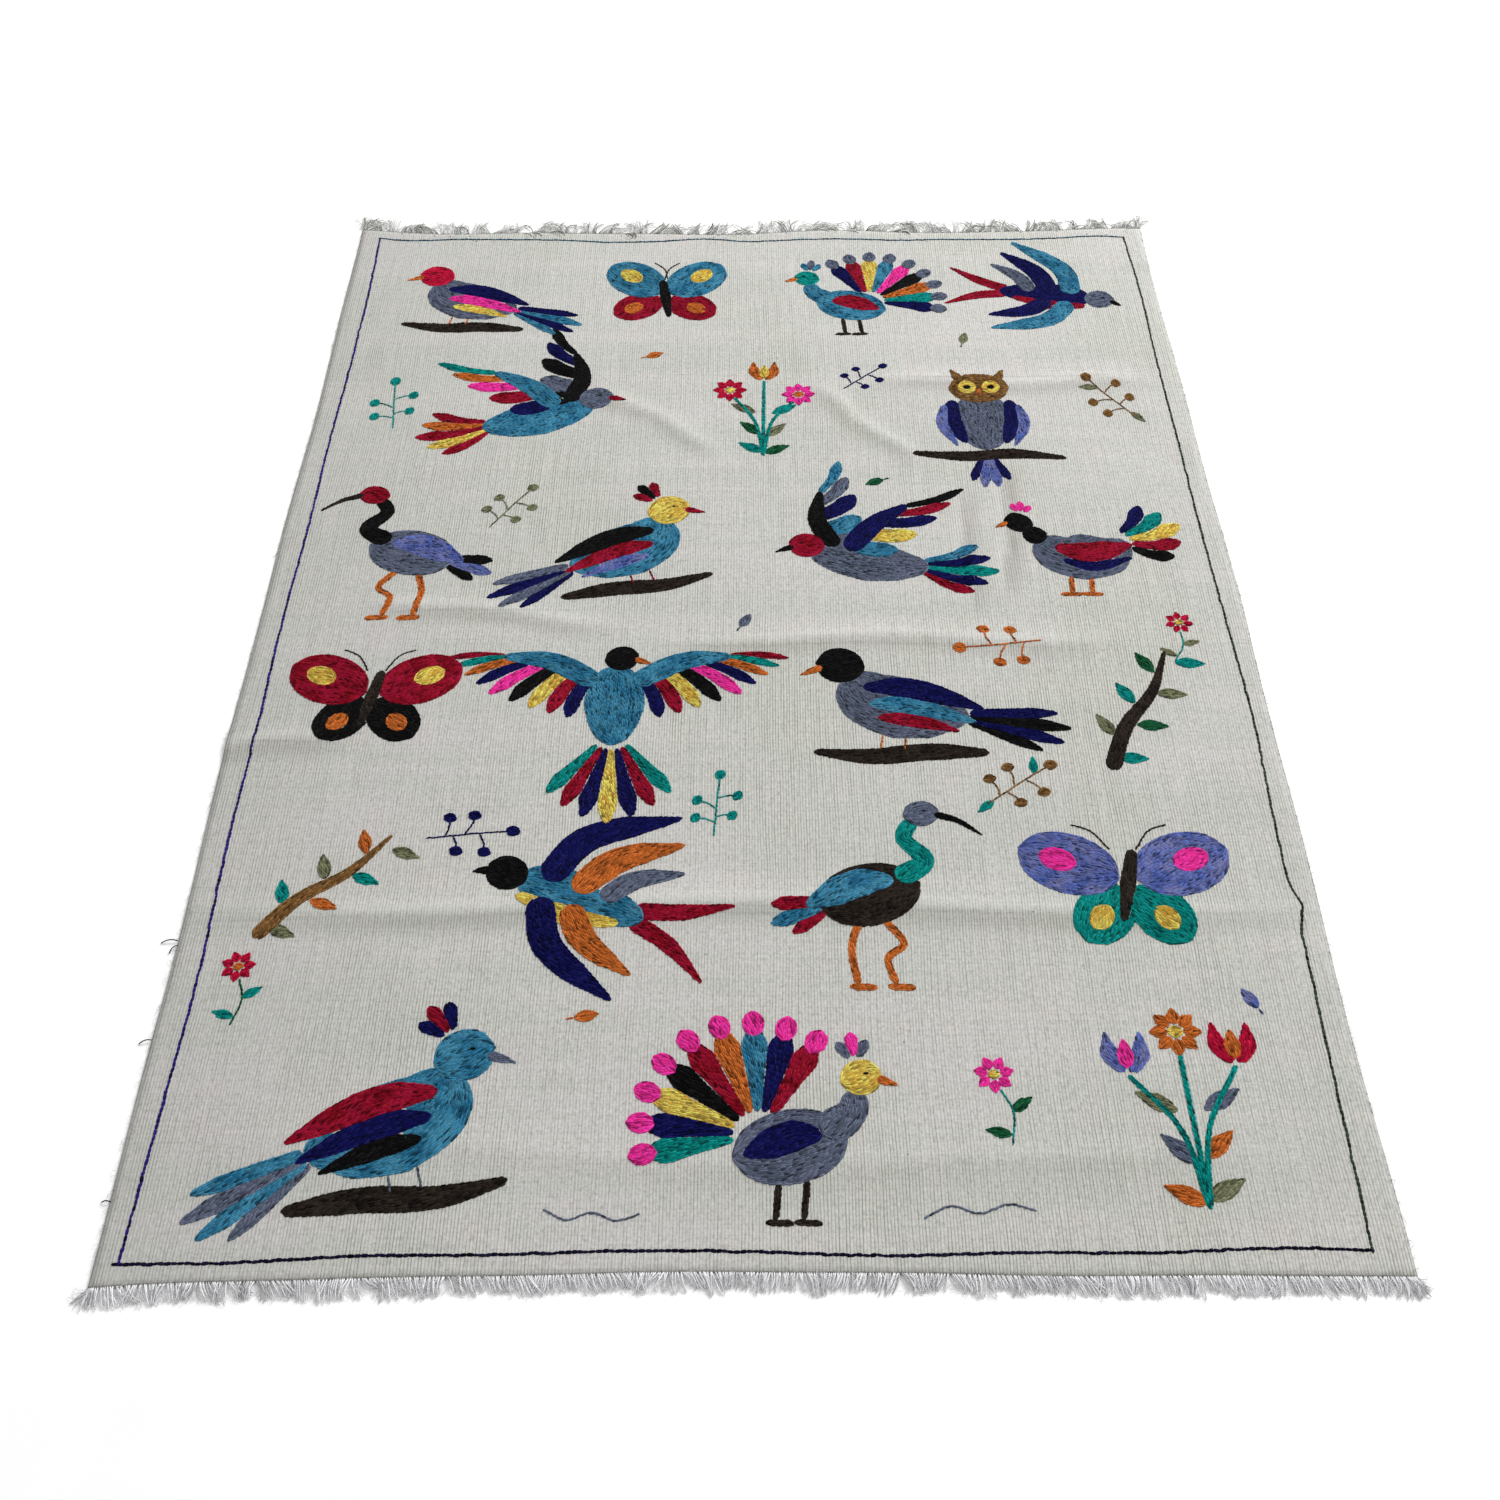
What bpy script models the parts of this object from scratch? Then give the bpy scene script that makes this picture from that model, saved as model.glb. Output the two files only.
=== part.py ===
"""An embroidered flat-woven rug that lies on the floor: one thin cloth, with a fringe at each end.

All sizes are in metres. X runs across the rug, Y along it from the near end to the far one, and Z is up.
The rug is laid out with x = 0 on its middle line and y = 0 at the middle of its near end. At the end
everything is moved so that the origin is on the floor, at the middle of the footprint.
"""
import math

import bmesh
import bpy
from mathutils import Vector

# The cloth
CLOTH_WIDTH = 1.60
CLOTH_LENGTH = 2.145
CLOTH_THICKNESS = 0.003

# The spacing of the lines of points in the cloth, and the least distance between two that a fold adds
COLUMN_STEP = 0.045
ROW_STEP = 0.095
LEAST_STEP = 0.016

# The fringes
FRINGE_GAP = 0.0004
STRIP_DEPTH = 0.004
STRIP_HEIGHT = 0.0026
STRIP_END_INSET = 0.002
STRAND_WIDTH = 0.0034
STRAND_TIP_WIDTH = 0.0016
STRAND_TIP_HEIGHT = 0.0014
STRAND_RINGS = 2
STRAND_BOW = 1.6
# The lengths of the strands swing between the two: the swing's angle, in radians, from one strand to the next
UNEVEN_STEP = 2.4
UNEVEN_START = 0.8

# Soft folds. Each is a low ridge with its middle at x, y. It runs along heading, in degrees from the
# width of the rug, and bows sideways by bend. They are what is left of the lines where the rug was folded
# in four along its length, with shorter slanting and lengthwise ones between them. A ridge is as pointed
# as FOLD_POINT says, bows FOLD_BOWS times along its length, and sinks toward its ends by FOLD_TAPER.
FOLD_POINT = 1.5
FOLD_BOWS = 1.5
FOLD_TAPER = 2.5
FOLD_COLUMNS = ("x", "y", "heading", "length", "half_width", "height", "bend")
FOLDS = (
    (0.000, 0.524, 0, 1.66, 0.048, 0.0050, 0.010),
    (0.210, 1.030, 0, 0.78, 0.045, 0.0050, 0.008),
    (-0.430, 1.091, -8, 0.44, 0.042, 0.0042, 0.006),
    (0.480, 1.674, 0, 0.56, 0.045, 0.0045, -0.008),
    (-0.740, 0.821, 6, 0.26, 0.045, 0.0045, 0.004),
    (0.000, 0.156, -1, 1.50, 0.080, 0.0028, -0.010),
    (-0.170, 1.566, -37, 0.30, 0.042, 0.0042, 0.006),
    (0.205, 1.551, -49, 0.30, 0.042, 0.0042, -0.006),
    (0.368, 1.231, 90, 0.32, 0.026, 0.0036, 0.003),
    (0.441, 1.281, 86, 0.34, 0.026, 0.0042, -0.003),
)

# Gentle waves of each edge about its straight line: size, whole waves along the edge, and phase.
WAVE_COLUMNS = ("size", "waves", "phase")
EDGE_WAVES = {
    "left": ((0.0022, 1.5, 0.4), (0.0012, 4.0, 1.9)),
    "right": ((0.0024, 1.3, 3.6), (0.0014, 4.0, 0.7)),
    "near": ((0.0020, 2.0, 1.6), (0.0006, 5.0, 0.5)),
    "far": ((0.0049, 1.0, 2.31), (0.0023, 2.0, 1.28), (0.0050, 3.0, 2.58), (0.0020, 5.0, 1.70)),
}

# The near end bows: its corners lie this much nearer the viewer than its middle.
NEAR_CORNER_DROP = {"left": 0.020, "right": 0.006}
# The far end slants: its right corner lies this much farther off than its left one.
FAR_CORNER_RISE = 0.005

# The two fringes: the number of strands, their shortest and longest length, how far a tip swings
# sideways, and how many times the swing changes over the width of the rug.
FRINGE_COLUMNS = ("strands", "short", "long", "swing", "changes")
FRINGES = {
    "near": (92, 0.020, 0.028, 0.0048, 17.0),
    "far": (76, 0.034, 0.047, 0.0062, 13.0),
}

# The longer tail of warp at three of the corners, and how far its tip goes outward past the corner.
TAIL_REACH = {
    "near": {"left": 0.019, "right": 0.012},
    "far": {"left": 0.004, "right": 0.024},
}

# Edges that turn by more than this are shaded sharp.
SHARP_ANGLE = 35

MATERIALS = {
    "ground_wool": ((0.56, 0.55, 0.50), 0.92),
    "fringe_wool": ((0.50, 0.48, 0.44), 0.90),
}


def table_rows(columns, rows):
    """The rows of a table, each as a dictionary with the table's column names."""
    return [dict(zip(columns, row)) for row in rows]


def edge_wave(side, fraction):
    """The waviness of one edge, at a fraction of the way along it."""
    total = 0.0
    for wave in table_rows(WAVE_COLUMNS, EDGE_WAVES[side]):
        total += wave["size"] * math.sin(2 * math.pi * wave["waves"] * fraction + wave["phase"])
    return total


def near_edge(fraction):
    """The y of the near end, at a fraction of the way across from left to right."""
    across = 2 * fraction - 1
    corner = NEAR_CORNER_DROP["left"] if across < 0 else NEAR_CORNER_DROP["right"]
    return edge_wave("near", fraction) - corner * abs(across) ** 3


def far_edge(fraction):
    """The y of the far end, at a fraction of the way across from left to right."""
    return CLOTH_LENGTH + edge_wave("far", fraction) + FAR_CORNER_RISE * (fraction - 0.5)


def left_edge(fraction):
    """The x of the left selvedge, at a fraction of the way along from near to far."""
    return -CLOTH_WIDTH / 2 + edge_wave("left", fraction)


def right_edge(fraction):
    """The x of the right selvedge, at a fraction of the way along from near to far."""
    return CLOTH_WIDTH / 2 + edge_wave("right", fraction)


def outline_point(across, along):
    """The place on the floor of a point that is a fraction of the way across and along the cloth."""
    x = left_edge(along) + (right_edge(along) - left_edge(along)) * across
    y = near_edge(across) + (far_edge(across) - near_edge(across)) * along
    return x, y


def fold_height(x, y):
    """How far the cloth is lifted off the floor by its soft folds."""
    lift = 0.0
    for fold in table_rows(FOLD_COLUMNS, FOLDS):
        heading = math.radians(fold["heading"])
        along = (x - fold["x"]) * math.cos(heading) + (y - fold["y"]) * math.sin(heading)
        beside = (y - fold["y"]) * math.cos(heading) - (x - fold["x"]) * math.sin(heading)
        reach = abs(along) / (fold["length"] / 2)
        if reach >= 1:
            continue
        bow = fold["bend"] * math.cos(2 * math.pi * FOLD_BOWS * along / fold["length"])
        offset = abs(beside - bow)
        if offset >= fold["half_width"]:
            continue
        crest = (1 - offset / fold["half_width"]) ** FOLD_POINT
        taper = min(1.0, FOLD_TAPER * (1 - reach))
        lift = max(lift, fold["height"] * crest * taper)
    return lift


def grid_lines(length, step, extra):
    """Fractions from 0 to 1 at an even step, with closer lines where a fold needs them."""
    count = round(length / step)
    lines = [index / count for index in range(count + 1)]
    for place in extra:
        lines = [line for line in lines if line in (0.0, 1.0) or abs(line - place) * length > 2 * LEAST_STEP]
    return sorted(lines + list(extra))


def fold_lines():
    """The extra columns for the lengthwise folds and the extra rows for the crosswise ones."""
    columns = set()
    rows = set()
    for fold in table_rows(FOLD_COLUMNS, FOLDS):
        lengthwise = fold["heading"] > 45
        for share in (-0.5, 0.0, 0.5):
            shift = share * fold["half_width"]
            if lengthwise:
                columns.add(round((fold["x"] + shift) / CLOTH_WIDTH + 0.5, 4))
            else:
                rows.add(round((fold["y"] + shift) / CLOTH_LENGTH, 4))
    return sorted(columns), sorted(rows)


def thin_out(places, length):
    """Drop the places that lie too close to the one before them."""
    kept = []
    for place in places:
        if not kept or (place - kept[-1]) * length >= LEAST_STEP:
            kept.append(place)
    return kept


def new_material(name):
    """A Principled material with the wool's colour and roughness."""
    colour, roughness = MATERIALS[name]
    material = bpy.data.materials.new(name)
    material.use_nodes = True
    shader = material.node_tree.nodes["Principled BSDF"]
    shader.inputs["Base Color"].default_value = (*colour, 1.0)
    shader.inputs["Roughness"].default_value = roughness
    shader.inputs["Metallic"].default_value = 0.0
    return material


def new_object(name, vertices, faces, material_name):
    """An object made of the given points and faces, with its faces turned outward."""
    mesh = bpy.data.meshes.new(name)
    mesh.from_pydata(vertices, [], faces)
    work = bmesh.new()
    work.from_mesh(mesh)
    bmesh.ops.recalc_face_normals(work, faces=work.faces)
    work.to_mesh(mesh)
    work.free()
    mesh.shade_smooth()
    mesh.set_sharp_from_angle(angle=math.radians(SHARP_ANGLE))
    mesh.materials.append(new_material(material_name))
    result = bpy.data.objects.new(name, mesh)
    bpy.context.scene.collection.objects.link(result)
    return result


def build_cloth():
    """The woven ground: one sheet of even thickness that follows the outline and the soft folds."""
    fold_columns, fold_rows = fold_lines()
    columns = grid_lines(CLOTH_WIDTH, COLUMN_STEP, thin_out(fold_columns, CLOTH_WIDTH))
    rows = grid_lines(CLOTH_LENGTH, ROW_STEP, thin_out(fold_rows, CLOTH_LENGTH))
    wide = len(columns)
    bottom = []
    for along in rows:
        for across in columns:
            x, y = outline_point(across, along)
            bottom.append((x, y, fold_height(x, y)))
    top = [(x, y, z + CLOTH_THICKNESS) for x, y, z in bottom]
    layer = len(bottom)
    faces = []
    for row in range(len(rows) - 1):
        for column in range(wide - 1):
            a = row * wide + column
            faces.append((a, a + wide, a + wide + 1, a + 1))
            faces.append((a + layer, a + layer + 1, a + layer + wide + 1, a + layer + wide))
    rim = list(range(wide))
    rim += [row * wide + wide - 1 for row in range(1, len(rows))]
    rim += [layer - 1 - column for column in range(1, wide)]
    rim += [row * wide for row in range(len(rows) - 2, 0, -1)]
    for a, b in zip(rim, rim[1:] + rim[:1]):
        faces.append((a, b, b + layer, a + layer))
    return new_object("cloth", bottom + top, faces, "ground_wool")


def strand_shape(end, index, count):
    """A strand's length and the sideways swing of its tip, uneven along the rug."""
    fringe = dict(zip(FRINGE_COLUMNS, FRINGES[end]))
    fraction = (index + 0.5) / count
    unevenness = 0.5 + 0.5 * math.sin(index * UNEVEN_STEP + UNEVEN_START)
    length = fringe["short"] + (fringe["long"] - fringe["short"]) * unevenness
    swing = fringe["swing"] * math.sin(2 * math.pi * fringe["changes"] * fraction)
    if index == 0:
        swing = -TAIL_REACH[end]["left"]
    if index == count - 1:
        swing = TAIL_REACH[end]["right"]
    return length, swing


def build_fringe(end):
    """One fringe: a narrow strip just off the end of the cloth, and strands that lie on the floor."""
    fringe = dict(zip(FRINGE_COLUMNS, FRINGES[end]))
    count = fringe["strands"]
    outward = -1 if end == "near" else 1
    along = 0.0 if end == "near" else 1.0
    left = left_edge(along) + STRIP_END_INSET
    width = right_edge(along) - STRIP_END_INSET - left
    pitch = width / count
    places = []
    for index in range(count):
        middle = left + (index + 0.5) * pitch
        places += [middle - STRAND_WIDTH / 2, middle + STRAND_WIDTH / 2]
    places = [left] + places + [left + width]

    # The strip, four points at each place: inner bottom, inner top, outer bottom, outer top
    vertices = []
    for x in places:
        fraction = (x - left_edge(along)) / (right_edge(along) - left_edge(along))
        edge = near_edge(fraction) if end == "near" else far_edge(fraction)
        inner = edge + outward * FRINGE_GAP
        outer = inner + outward * STRIP_DEPTH
        vertices += [(x, inner, 0.0), (x, inner, STRIP_HEIGHT), (x, outer, 0.0), (x, outer, STRIP_HEIGHT)]
    faces = [(0, 1, 3, 2)]
    last = 4 * (len(places) - 1)
    faces.append((last, last + 2, last + 3, last + 1))
    for index in range(len(places) - 1):
        a = 4 * index
        b = a + 4
        faces.append((a, b, b + 1, a + 1))
        faces.append((a + 1, b + 1, b + 3, a + 3))
        faces.append((a, a + 2, b + 2, b))
        if index % 2 == 0:
            faces.append((a + 2, a + 3, b + 3, b + 2))

    # The strands, each carried on from the outer face of its root
    for index in range(count):
        root = 4 * (2 * index + 1)
        ring = [root + 2, root + 6, root + 7, root + 3]
        length, swing = strand_shape(end, index, count)
        middle = (vertices[ring[0]][0] + vertices[ring[1]][0]) / 2
        base = (vertices[ring[0]][1] + vertices[ring[1]][1]) / 2
        for step in range(1, STRAND_RINGS + 1):
            part = step / STRAND_RINGS
            x = middle + swing * part ** STRAND_BOW
            y = base + outward * length * part
            half = (STRAND_WIDTH + (STRAND_TIP_WIDTH - STRAND_WIDTH) * part) / 2
            height = STRIP_HEIGHT + (STRAND_TIP_HEIGHT - STRIP_HEIGHT) * part
            start = len(vertices)
            vertices += [(x - half, y, 0.0), (x + half, y, 0.0), (x + half, y, height), (x - half, y, height)]
            following = [start, start + 1, start + 2, start + 3]
            for corner in range(4):
                other = (corner + 1) % 4
                faces.append((ring[corner], ring[other], following[other], following[corner]))
            ring = following
        faces.append(tuple(ring))
    return new_object("fringe_" + end, vertices, faces, "fringe_wool")


def centre_on_footprint(pieces):
    """Move the pieces so that the origin is on the floor, at the middle of their common footprint."""
    points = [vertex.co for piece in pieces for vertex in piece.data.vertices]
    low = Vector([min(point[axis] for point in points) for axis in range(3)])
    high = Vector([max(point[axis] for point in points) for axis in range(3)])
    shift = Vector((-(low.x + high.x) / 2, -(low.y + high.y) / 2, -low.z))
    for piece in pieces:
        for vertex in piece.data.vertices:
            vertex.co += shift


for old in list(bpy.data.objects):
    bpy.data.objects.remove(old)

centre_on_footprint([build_cloth(), build_fringe("near"), build_fringe("far")])
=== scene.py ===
"""The looks of an embroidered flat-woven rug: its ribbed wool ground, the stitched motifs, the border line
and the fringes, on a pale floor in soft studio light.

All sizes are in metres. The rug is laid out with x = 0 on its middle line and y = 0 at the middle of its near
end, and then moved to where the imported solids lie.
"""

import copy
import itertools
import math

import bpy
import numpy as np
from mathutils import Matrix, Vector


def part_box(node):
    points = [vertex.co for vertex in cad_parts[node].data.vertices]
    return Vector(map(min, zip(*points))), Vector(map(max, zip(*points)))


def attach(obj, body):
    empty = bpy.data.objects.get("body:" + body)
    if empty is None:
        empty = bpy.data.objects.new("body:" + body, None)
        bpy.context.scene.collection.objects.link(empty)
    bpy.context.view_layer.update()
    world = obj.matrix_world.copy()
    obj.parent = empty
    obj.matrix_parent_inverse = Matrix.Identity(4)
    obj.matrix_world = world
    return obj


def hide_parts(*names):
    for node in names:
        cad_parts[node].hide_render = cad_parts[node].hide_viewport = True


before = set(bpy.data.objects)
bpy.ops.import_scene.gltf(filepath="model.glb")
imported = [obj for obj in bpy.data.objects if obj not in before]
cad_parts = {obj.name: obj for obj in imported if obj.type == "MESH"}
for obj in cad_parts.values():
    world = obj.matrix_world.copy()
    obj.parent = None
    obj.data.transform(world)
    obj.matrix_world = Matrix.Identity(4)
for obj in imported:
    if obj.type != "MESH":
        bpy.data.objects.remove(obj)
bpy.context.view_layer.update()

# The cloth
CLOTH_WIDTH = 1.60
CLOTH_LENGTH = 2.145
CLOTH_THICKNESS = 0.003
RIBS_ACROSS = 375
PICKS_ALONG = 1240
CELL_ACROSS = 0.012
CELL_ALONG = 0.010
RIPPLE_HEIGHT = 0.0006

# Soft folds: low ridges with their middle at x, y, that run along heading, in degrees from the rug's
# width, and bow sideways by bend. A ridge is as pointed as FOLD_POINT says, bows FOLD_BOWS times along its
# length, and sinks toward its ends by FOLD_TAPER. Along the line that was pressed, shade is painted into the
# wool's colour, and light is painted beside it: dark and light say how much.
FOLD_POINT = 1.5
FOLD_BOWS = 1.5
FOLD_TAPER = 2.5
FOLD_COLUMNS = ("x", "y", "heading", "length", "half_width", "height", "bend", "dark", "light")
FOLDS = (
    (0.000, 0.524, 0, 1.66, 0.048, 0.0050, 0.010, 0.48, 0.45),
    (0.210, 1.030, 0, 0.78, 0.045, 0.0050, 0.008, 0.40, 0.40),
    (-0.430, 1.091, -8, 0.44, 0.042, 0.0042, 0.006, 0.45, 0.40),
    (0.480, 1.674, 0, 0.56, 0.045, 0.0045, -0.008, 0.40, 0.35),
    (-0.740, 0.821, 6, 0.26, 0.045, 0.0045, 0.004, 0.50, 0.30),
    (0.000, 0.156, -1, 1.50, 0.080, 0.0028, -0.010, 0.15, 0.20),
    (-0.170, 1.566, -37, 0.30, 0.042, 0.0042, 0.006, 0.45, 0.35),
    (0.205, 1.551, -49, 0.30, 0.042, 0.0042, -0.006, 0.45, 0.35),
    (0.368, 1.231, 90, 0.32, 0.026, 0.0036, 0.003, 0.75, 0.35),
    (0.441, 1.281, 86, 0.34, 0.026, 0.0042, -0.003, 0.95, 0.45),
)
# How far the painted shade reaches on the near side of a pressed line and on its far side, how much nearer than the
# fold's top the line lies on a crosswise fold, and where the painted light beside it has its middle and half width
SHADE_REACH = {"near": 0.030, "far": 0.010}
SHADE_NEARER = 0.018
PAINTED_LIGHT_STRIP = (0.020, 0.014)

# Pressed lines along the folds: thin creases across the rug, each a dip in the bump and a line of painted shade
CREASE_COLUMNS = ("y", "from_x", "to_x", "depth")
CREASES = (
    (0.507, -0.81, 0.81, 0.22),
    (1.012, -0.10, 0.50, 0.25),
    (1.090, -0.58, -0.28, 0.3),
    (1.676, 0.31, 0.66, 0.4),
    (0.822, -0.80, -0.68, 0.4),
)

# Gentle waves of each edge about its straight line: size, whole waves along the edge, and phase.
WAVE_COLUMNS = ("size", "waves", "phase")
EDGE_WAVES = {
    "left": ((0.0022, 1.5, 0.4), (0.0012, 4.0, 1.9)),
    "right": ((0.0024, 1.3, 3.6), (0.0014, 4.0, 0.7)),
    "near": ((0.0020, 2.0, 1.6), (0.0006, 5.0, 0.5)),
    "far": ((0.0049, 1.0, 2.31), (0.0023, 2.0, 1.28), (0.0050, 3.0, 2.58), (0.0020, 5.0, 1.70)),
}
NEAR_CORNER_DROP = {"left": 0.020, "right": 0.006}
FAR_CORNER_RISE = 0.005

# The stitches: thick wool yarn in rows of short slanting stitches
ROW_PITCH = 0.0027
STITCH_STEP = 0.0078
# In a short band the stitches are shorter, so that at least this many follow each other, down to a least length.
STITCHES_IN_BAND = 3
LEAST_STEP = 0.0045
STITCH_OVERLAP = 0.0013
# A stitch is this much wider than its row, so that neighbours press together.
STITCH_SPREAD = 1.20
STITCH_RELIEF = 0.0021
STITCH_SLANT = 9.0
# The rows along a band's outline slant less than those inside it.
OUTLINE_SLANT_SHARE = 0.6
# A shorter part of a stitch than this isn't sewn.
LEAST_STITCH_SHARE = 0.30
# Under each band's stitches lies a thin bed of the same wool, painted dark as the shade between the stitches: the
# spacing of its points along and across the band, how far it stays inside the outline, its height, how much lower
# each later band of a motif lies, and how light it is
BED_CELL = (0.0055, 0.0055)
BED_INSET = 0.0005
BED_HEIGHT = 0.0005
BED_STEP = 0.00001
BED_SHADE_TONE = 0.22
# A stitch's cross-sections: share of its length, of its half width, and of its height
STITCH_RIBS = ((0.16, 0.84, 0.72), (0.50, 1.0, 1.0), (0.84, 0.84, 0.72))
# The share of stitches that are painted dark, as the shade of stitches that lie deep among their neighbours
SHADED_STITCH_SHARE = 0.13
# The length of one turn of the yarn's ply
YARN_TURN = 0.0034
COVER_CELL = 0.0012

# The border line: how far in from each edge it runs, at even places along that edge
BORDER_INSETS = {
    "left": (0.030, 0.036, 0.040, 0.037, 0.041, 0.037, 0.042, 0.038, 0.042, 0.044, 0.040),
    "right": (0.047, 0.040, 0.034, 0.036, 0.027, 0.034, 0.036, 0.034, 0.036, 0.031, 0.040),
    "near": (0.030, 0.024, 0.028, 0.027, 0.028, 0.026, 0.022, 0.029, 0.029, 0.035, 0.033),
    "far": (0.031, 0.030, 0.021, 0.025, 0.027, 0.032, 0.030, 0.018, 0.029, 0.032, 0.033, 0.031, 0.026, 0.030,
            0.030, 0.028, 0.033),
}
BORDER_YARNS = {"left": "indigo", "right": "moss", "near": "midnight", "far": "petrol"}
BORDER_WIDTHS = {"left": 0.0044, "right": 0.0041, "near": 0.0045, "far": 0.0042}
# How far each line runs on past the corners at its two ends
BORDER_OVERRUNS = {"left": (0.002, 0.001), "right": (0.003, 0.001), "near": (0.008, 0.002), "far": (0.002, 0.001)}
BORDER_STEP = 0.0075
BORDER_OVERLAP = 0.0008
BORDER_WANDER = 0.0005
# Where the right line crosses the main fold it was sewn with a kink towards the edge: its middle, reach and depth
BORDER_KINK = (0.519, 0.042, 0.011)

# The yarns' colours, as they look in plain light
YARNS = {
    "navy": (10, 12, 76),
    "crimson": (134, 4, 28),
    "teal": (0, 130, 124),
    "steel": (36, 106, 140),
    "slate": (90, 100, 118),
    "pink": (232, 50, 150),
    "orange": (184, 98, 40),
    "yellow": (222, 198, 94),
    "bark": (35, 28, 23),
    "black": (10, 10, 12),
    "tan": (130, 94, 52),
    "lavender": (80, 98, 168),
    "sage": (114, 116, 88),
    "rose": (176, 12, 52),
    "green": (20, 84, 52),
    "indigo": (34, 24, 104),
    "midnight": (12, 9, 38),
    "petrol": (32, 76, 96),
    "moss": (48, 58, 52),
}
# How far a yarn's dye wanders toward a second colour
YARN_SHIFTS = {
    "steel": (78, 150, 180),
    "slate": (104, 108, 132),
    "lavender": (126, 130, 178),
    "crimson": (166, 18, 56),
    "yellow": (216, 168, 66),
    "tan": (112, 80, 44),
    "bark": (52, 42, 35),
}
YARN_SHIFT = 1.12

# The fringes: warp ends, fibres about each, their shortest and longest length, lock width, how far locks lean
# and all of them lean to the right, how far a lock's ends draw together, curl in degrees, the share of dull
# ends, and their lightest and darkest colour
FRINGE_COLUMNS = ("ends", "fibres", "short", "long", "lock", "lean", "drift", "gather", "curl", "dull", "light", "dark")
FRINGES = {
    "near": (560, 3, 0.018, 0.030, 0.016, 0.24, 0.16, 0.12, 22.0, 0.08, (244, 244, 246), (168, 168, 170)),
    "far": (380, 2, 0.034, 0.054, 0.017, 0.42, 0.22, 0.50, 85.0, 0.30, (226, 227, 224), (112, 112, 102)),
}
STRAND_POINTS = 7
STRAND_SIDES = 5
STRAND_RADIUS = 0.0011
FIBRE_SIDES = 3
FIBRE_RADIUS = 0.00024
ROOT_INSET = 0.0012
# The tuft of warp at each corner: how far it reaches sideways past the corner, and its ends
TAIL_REACH = {
    "near": {"left": 0.012, "right": 0.008},
    "far": {"left": 0.004, "right": 0.016},
}
TAIL_ENDS = 9
TAIL_DULL = 0.6

# Short ends of dark yarn that stick out past the outline: how far across and along it they start, their
# length, and their heading in degrees from the rug's width
LOOSE_END_COLUMNS = ("across", "along", "length", "heading")
LOOSE_ENDS = (
    (0.0, 0.222, 0.024, 158),
    (0.0, 0.219, 0.016, 205),
    (0.0, 0.152, 0.018, 168),
    (0.0, 0.050, 0.012, 150),
    (0.219, 1.0, 0.034, 100),
    (0.438, 1.0, 0.044, 40),
)
LOOSE_END_RADIUS = 0.0008
LOOSE_END_TURN = 50
# Fine fibres along both selvedges
HAIRS_PER_SIDE = 340
HAIR_LENGTH = 0.007
# How far inside the outline a loose end or a fibre starts
STRAY_INSET = 0.003

# The light
SKY_STRENGTH = 0.70
LAMP_POWER = 640.0
LAMP_SIZE = (3.4, 2.4)
LAMP_PLACE = (4.2, 5.2, 4.6)
LAMP_TARGET = (0.0, 1.0, 0.0)

# The camera
CAMERA_HEIGHT = 1.8646
CAMERA_BACK = 0.6432
CAMERA_ACROSS = -0.0041
CAMERA_PITCH = 52.23
FOCAL_PIXELS = 1549.0
FRAME_PIXELS = 1500.0
SENSOR_WIDTH = 36.0

random = np.random.default_rng(41)


def table_rows(columns, rows):
    """The rows of a table, each as a dictionary with the table's column names."""
    return [dict(zip(columns, row)) for row in rows]


# The rug's shape

def edge_wave(side, fraction):
    """The waviness of one edge, at fractions of the way along it."""
    total = 0.0
    for wave in table_rows(WAVE_COLUMNS, EDGE_WAVES[side]):
        total = total + wave["size"] * np.sin(2 * np.pi * wave["waves"] * fraction + wave["phase"])
    return total


def near_edge(fraction):
    """The y of the near end, at fractions of the way across from left to right."""
    across = 2 * fraction - 1
    corner = np.where(across < 0, NEAR_CORNER_DROP["left"], NEAR_CORNER_DROP["right"])
    return edge_wave("near", fraction) - corner * np.abs(across) ** 3


def far_edge(fraction):
    """The y of the far end, at fractions of the way across from left to right."""
    return CLOTH_LENGTH + edge_wave("far", fraction) + FAR_CORNER_RISE * (fraction - 0.5)


def left_edge(fraction):
    """The x of the left selvedge, at fractions of the way along from near to far."""
    return -CLOTH_WIDTH / 2 + edge_wave("left", fraction)


def right_edge(fraction):
    """The x of the right selvedge, at fractions of the way along from near to far."""
    return CLOTH_WIDTH / 2 + edge_wave("right", fraction)


def outline_point(across, along):
    """The places on the floor of points that are fractions of the way across and along the cloth."""
    x = left_edge(along) + (right_edge(along) - left_edge(along)) * across
    y = near_edge(across) + (far_edge(across) - near_edge(across)) * along
    return x, y


def fold_height(x, y):
    """How far the cloth is lifted off the floor by its soft folds."""
    lift = np.zeros_like(x)
    for fold in table_rows(FOLD_COLUMNS, FOLDS):
        heading = math.radians(fold["heading"])
        along = (x - fold["x"]) * math.cos(heading) + (y - fold["y"]) * math.sin(heading)
        beside = (y - fold["y"]) * math.cos(heading) - (x - fold["x"]) * math.sin(heading)
        reach = np.abs(along) / (fold["length"] / 2)
        bow = fold["bend"] * np.cos(2 * np.pi * FOLD_BOWS * along / fold["length"])
        crest = (1 - np.clip(np.abs(beside - bow) / fold["half_width"], 0, 1)) ** FOLD_POINT
        taper = np.clip(FOLD_TAPER * (1 - reach), 0, 1)
        lift = np.maximum(lift, fold["height"] * crest * taper)
    return lift


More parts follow.
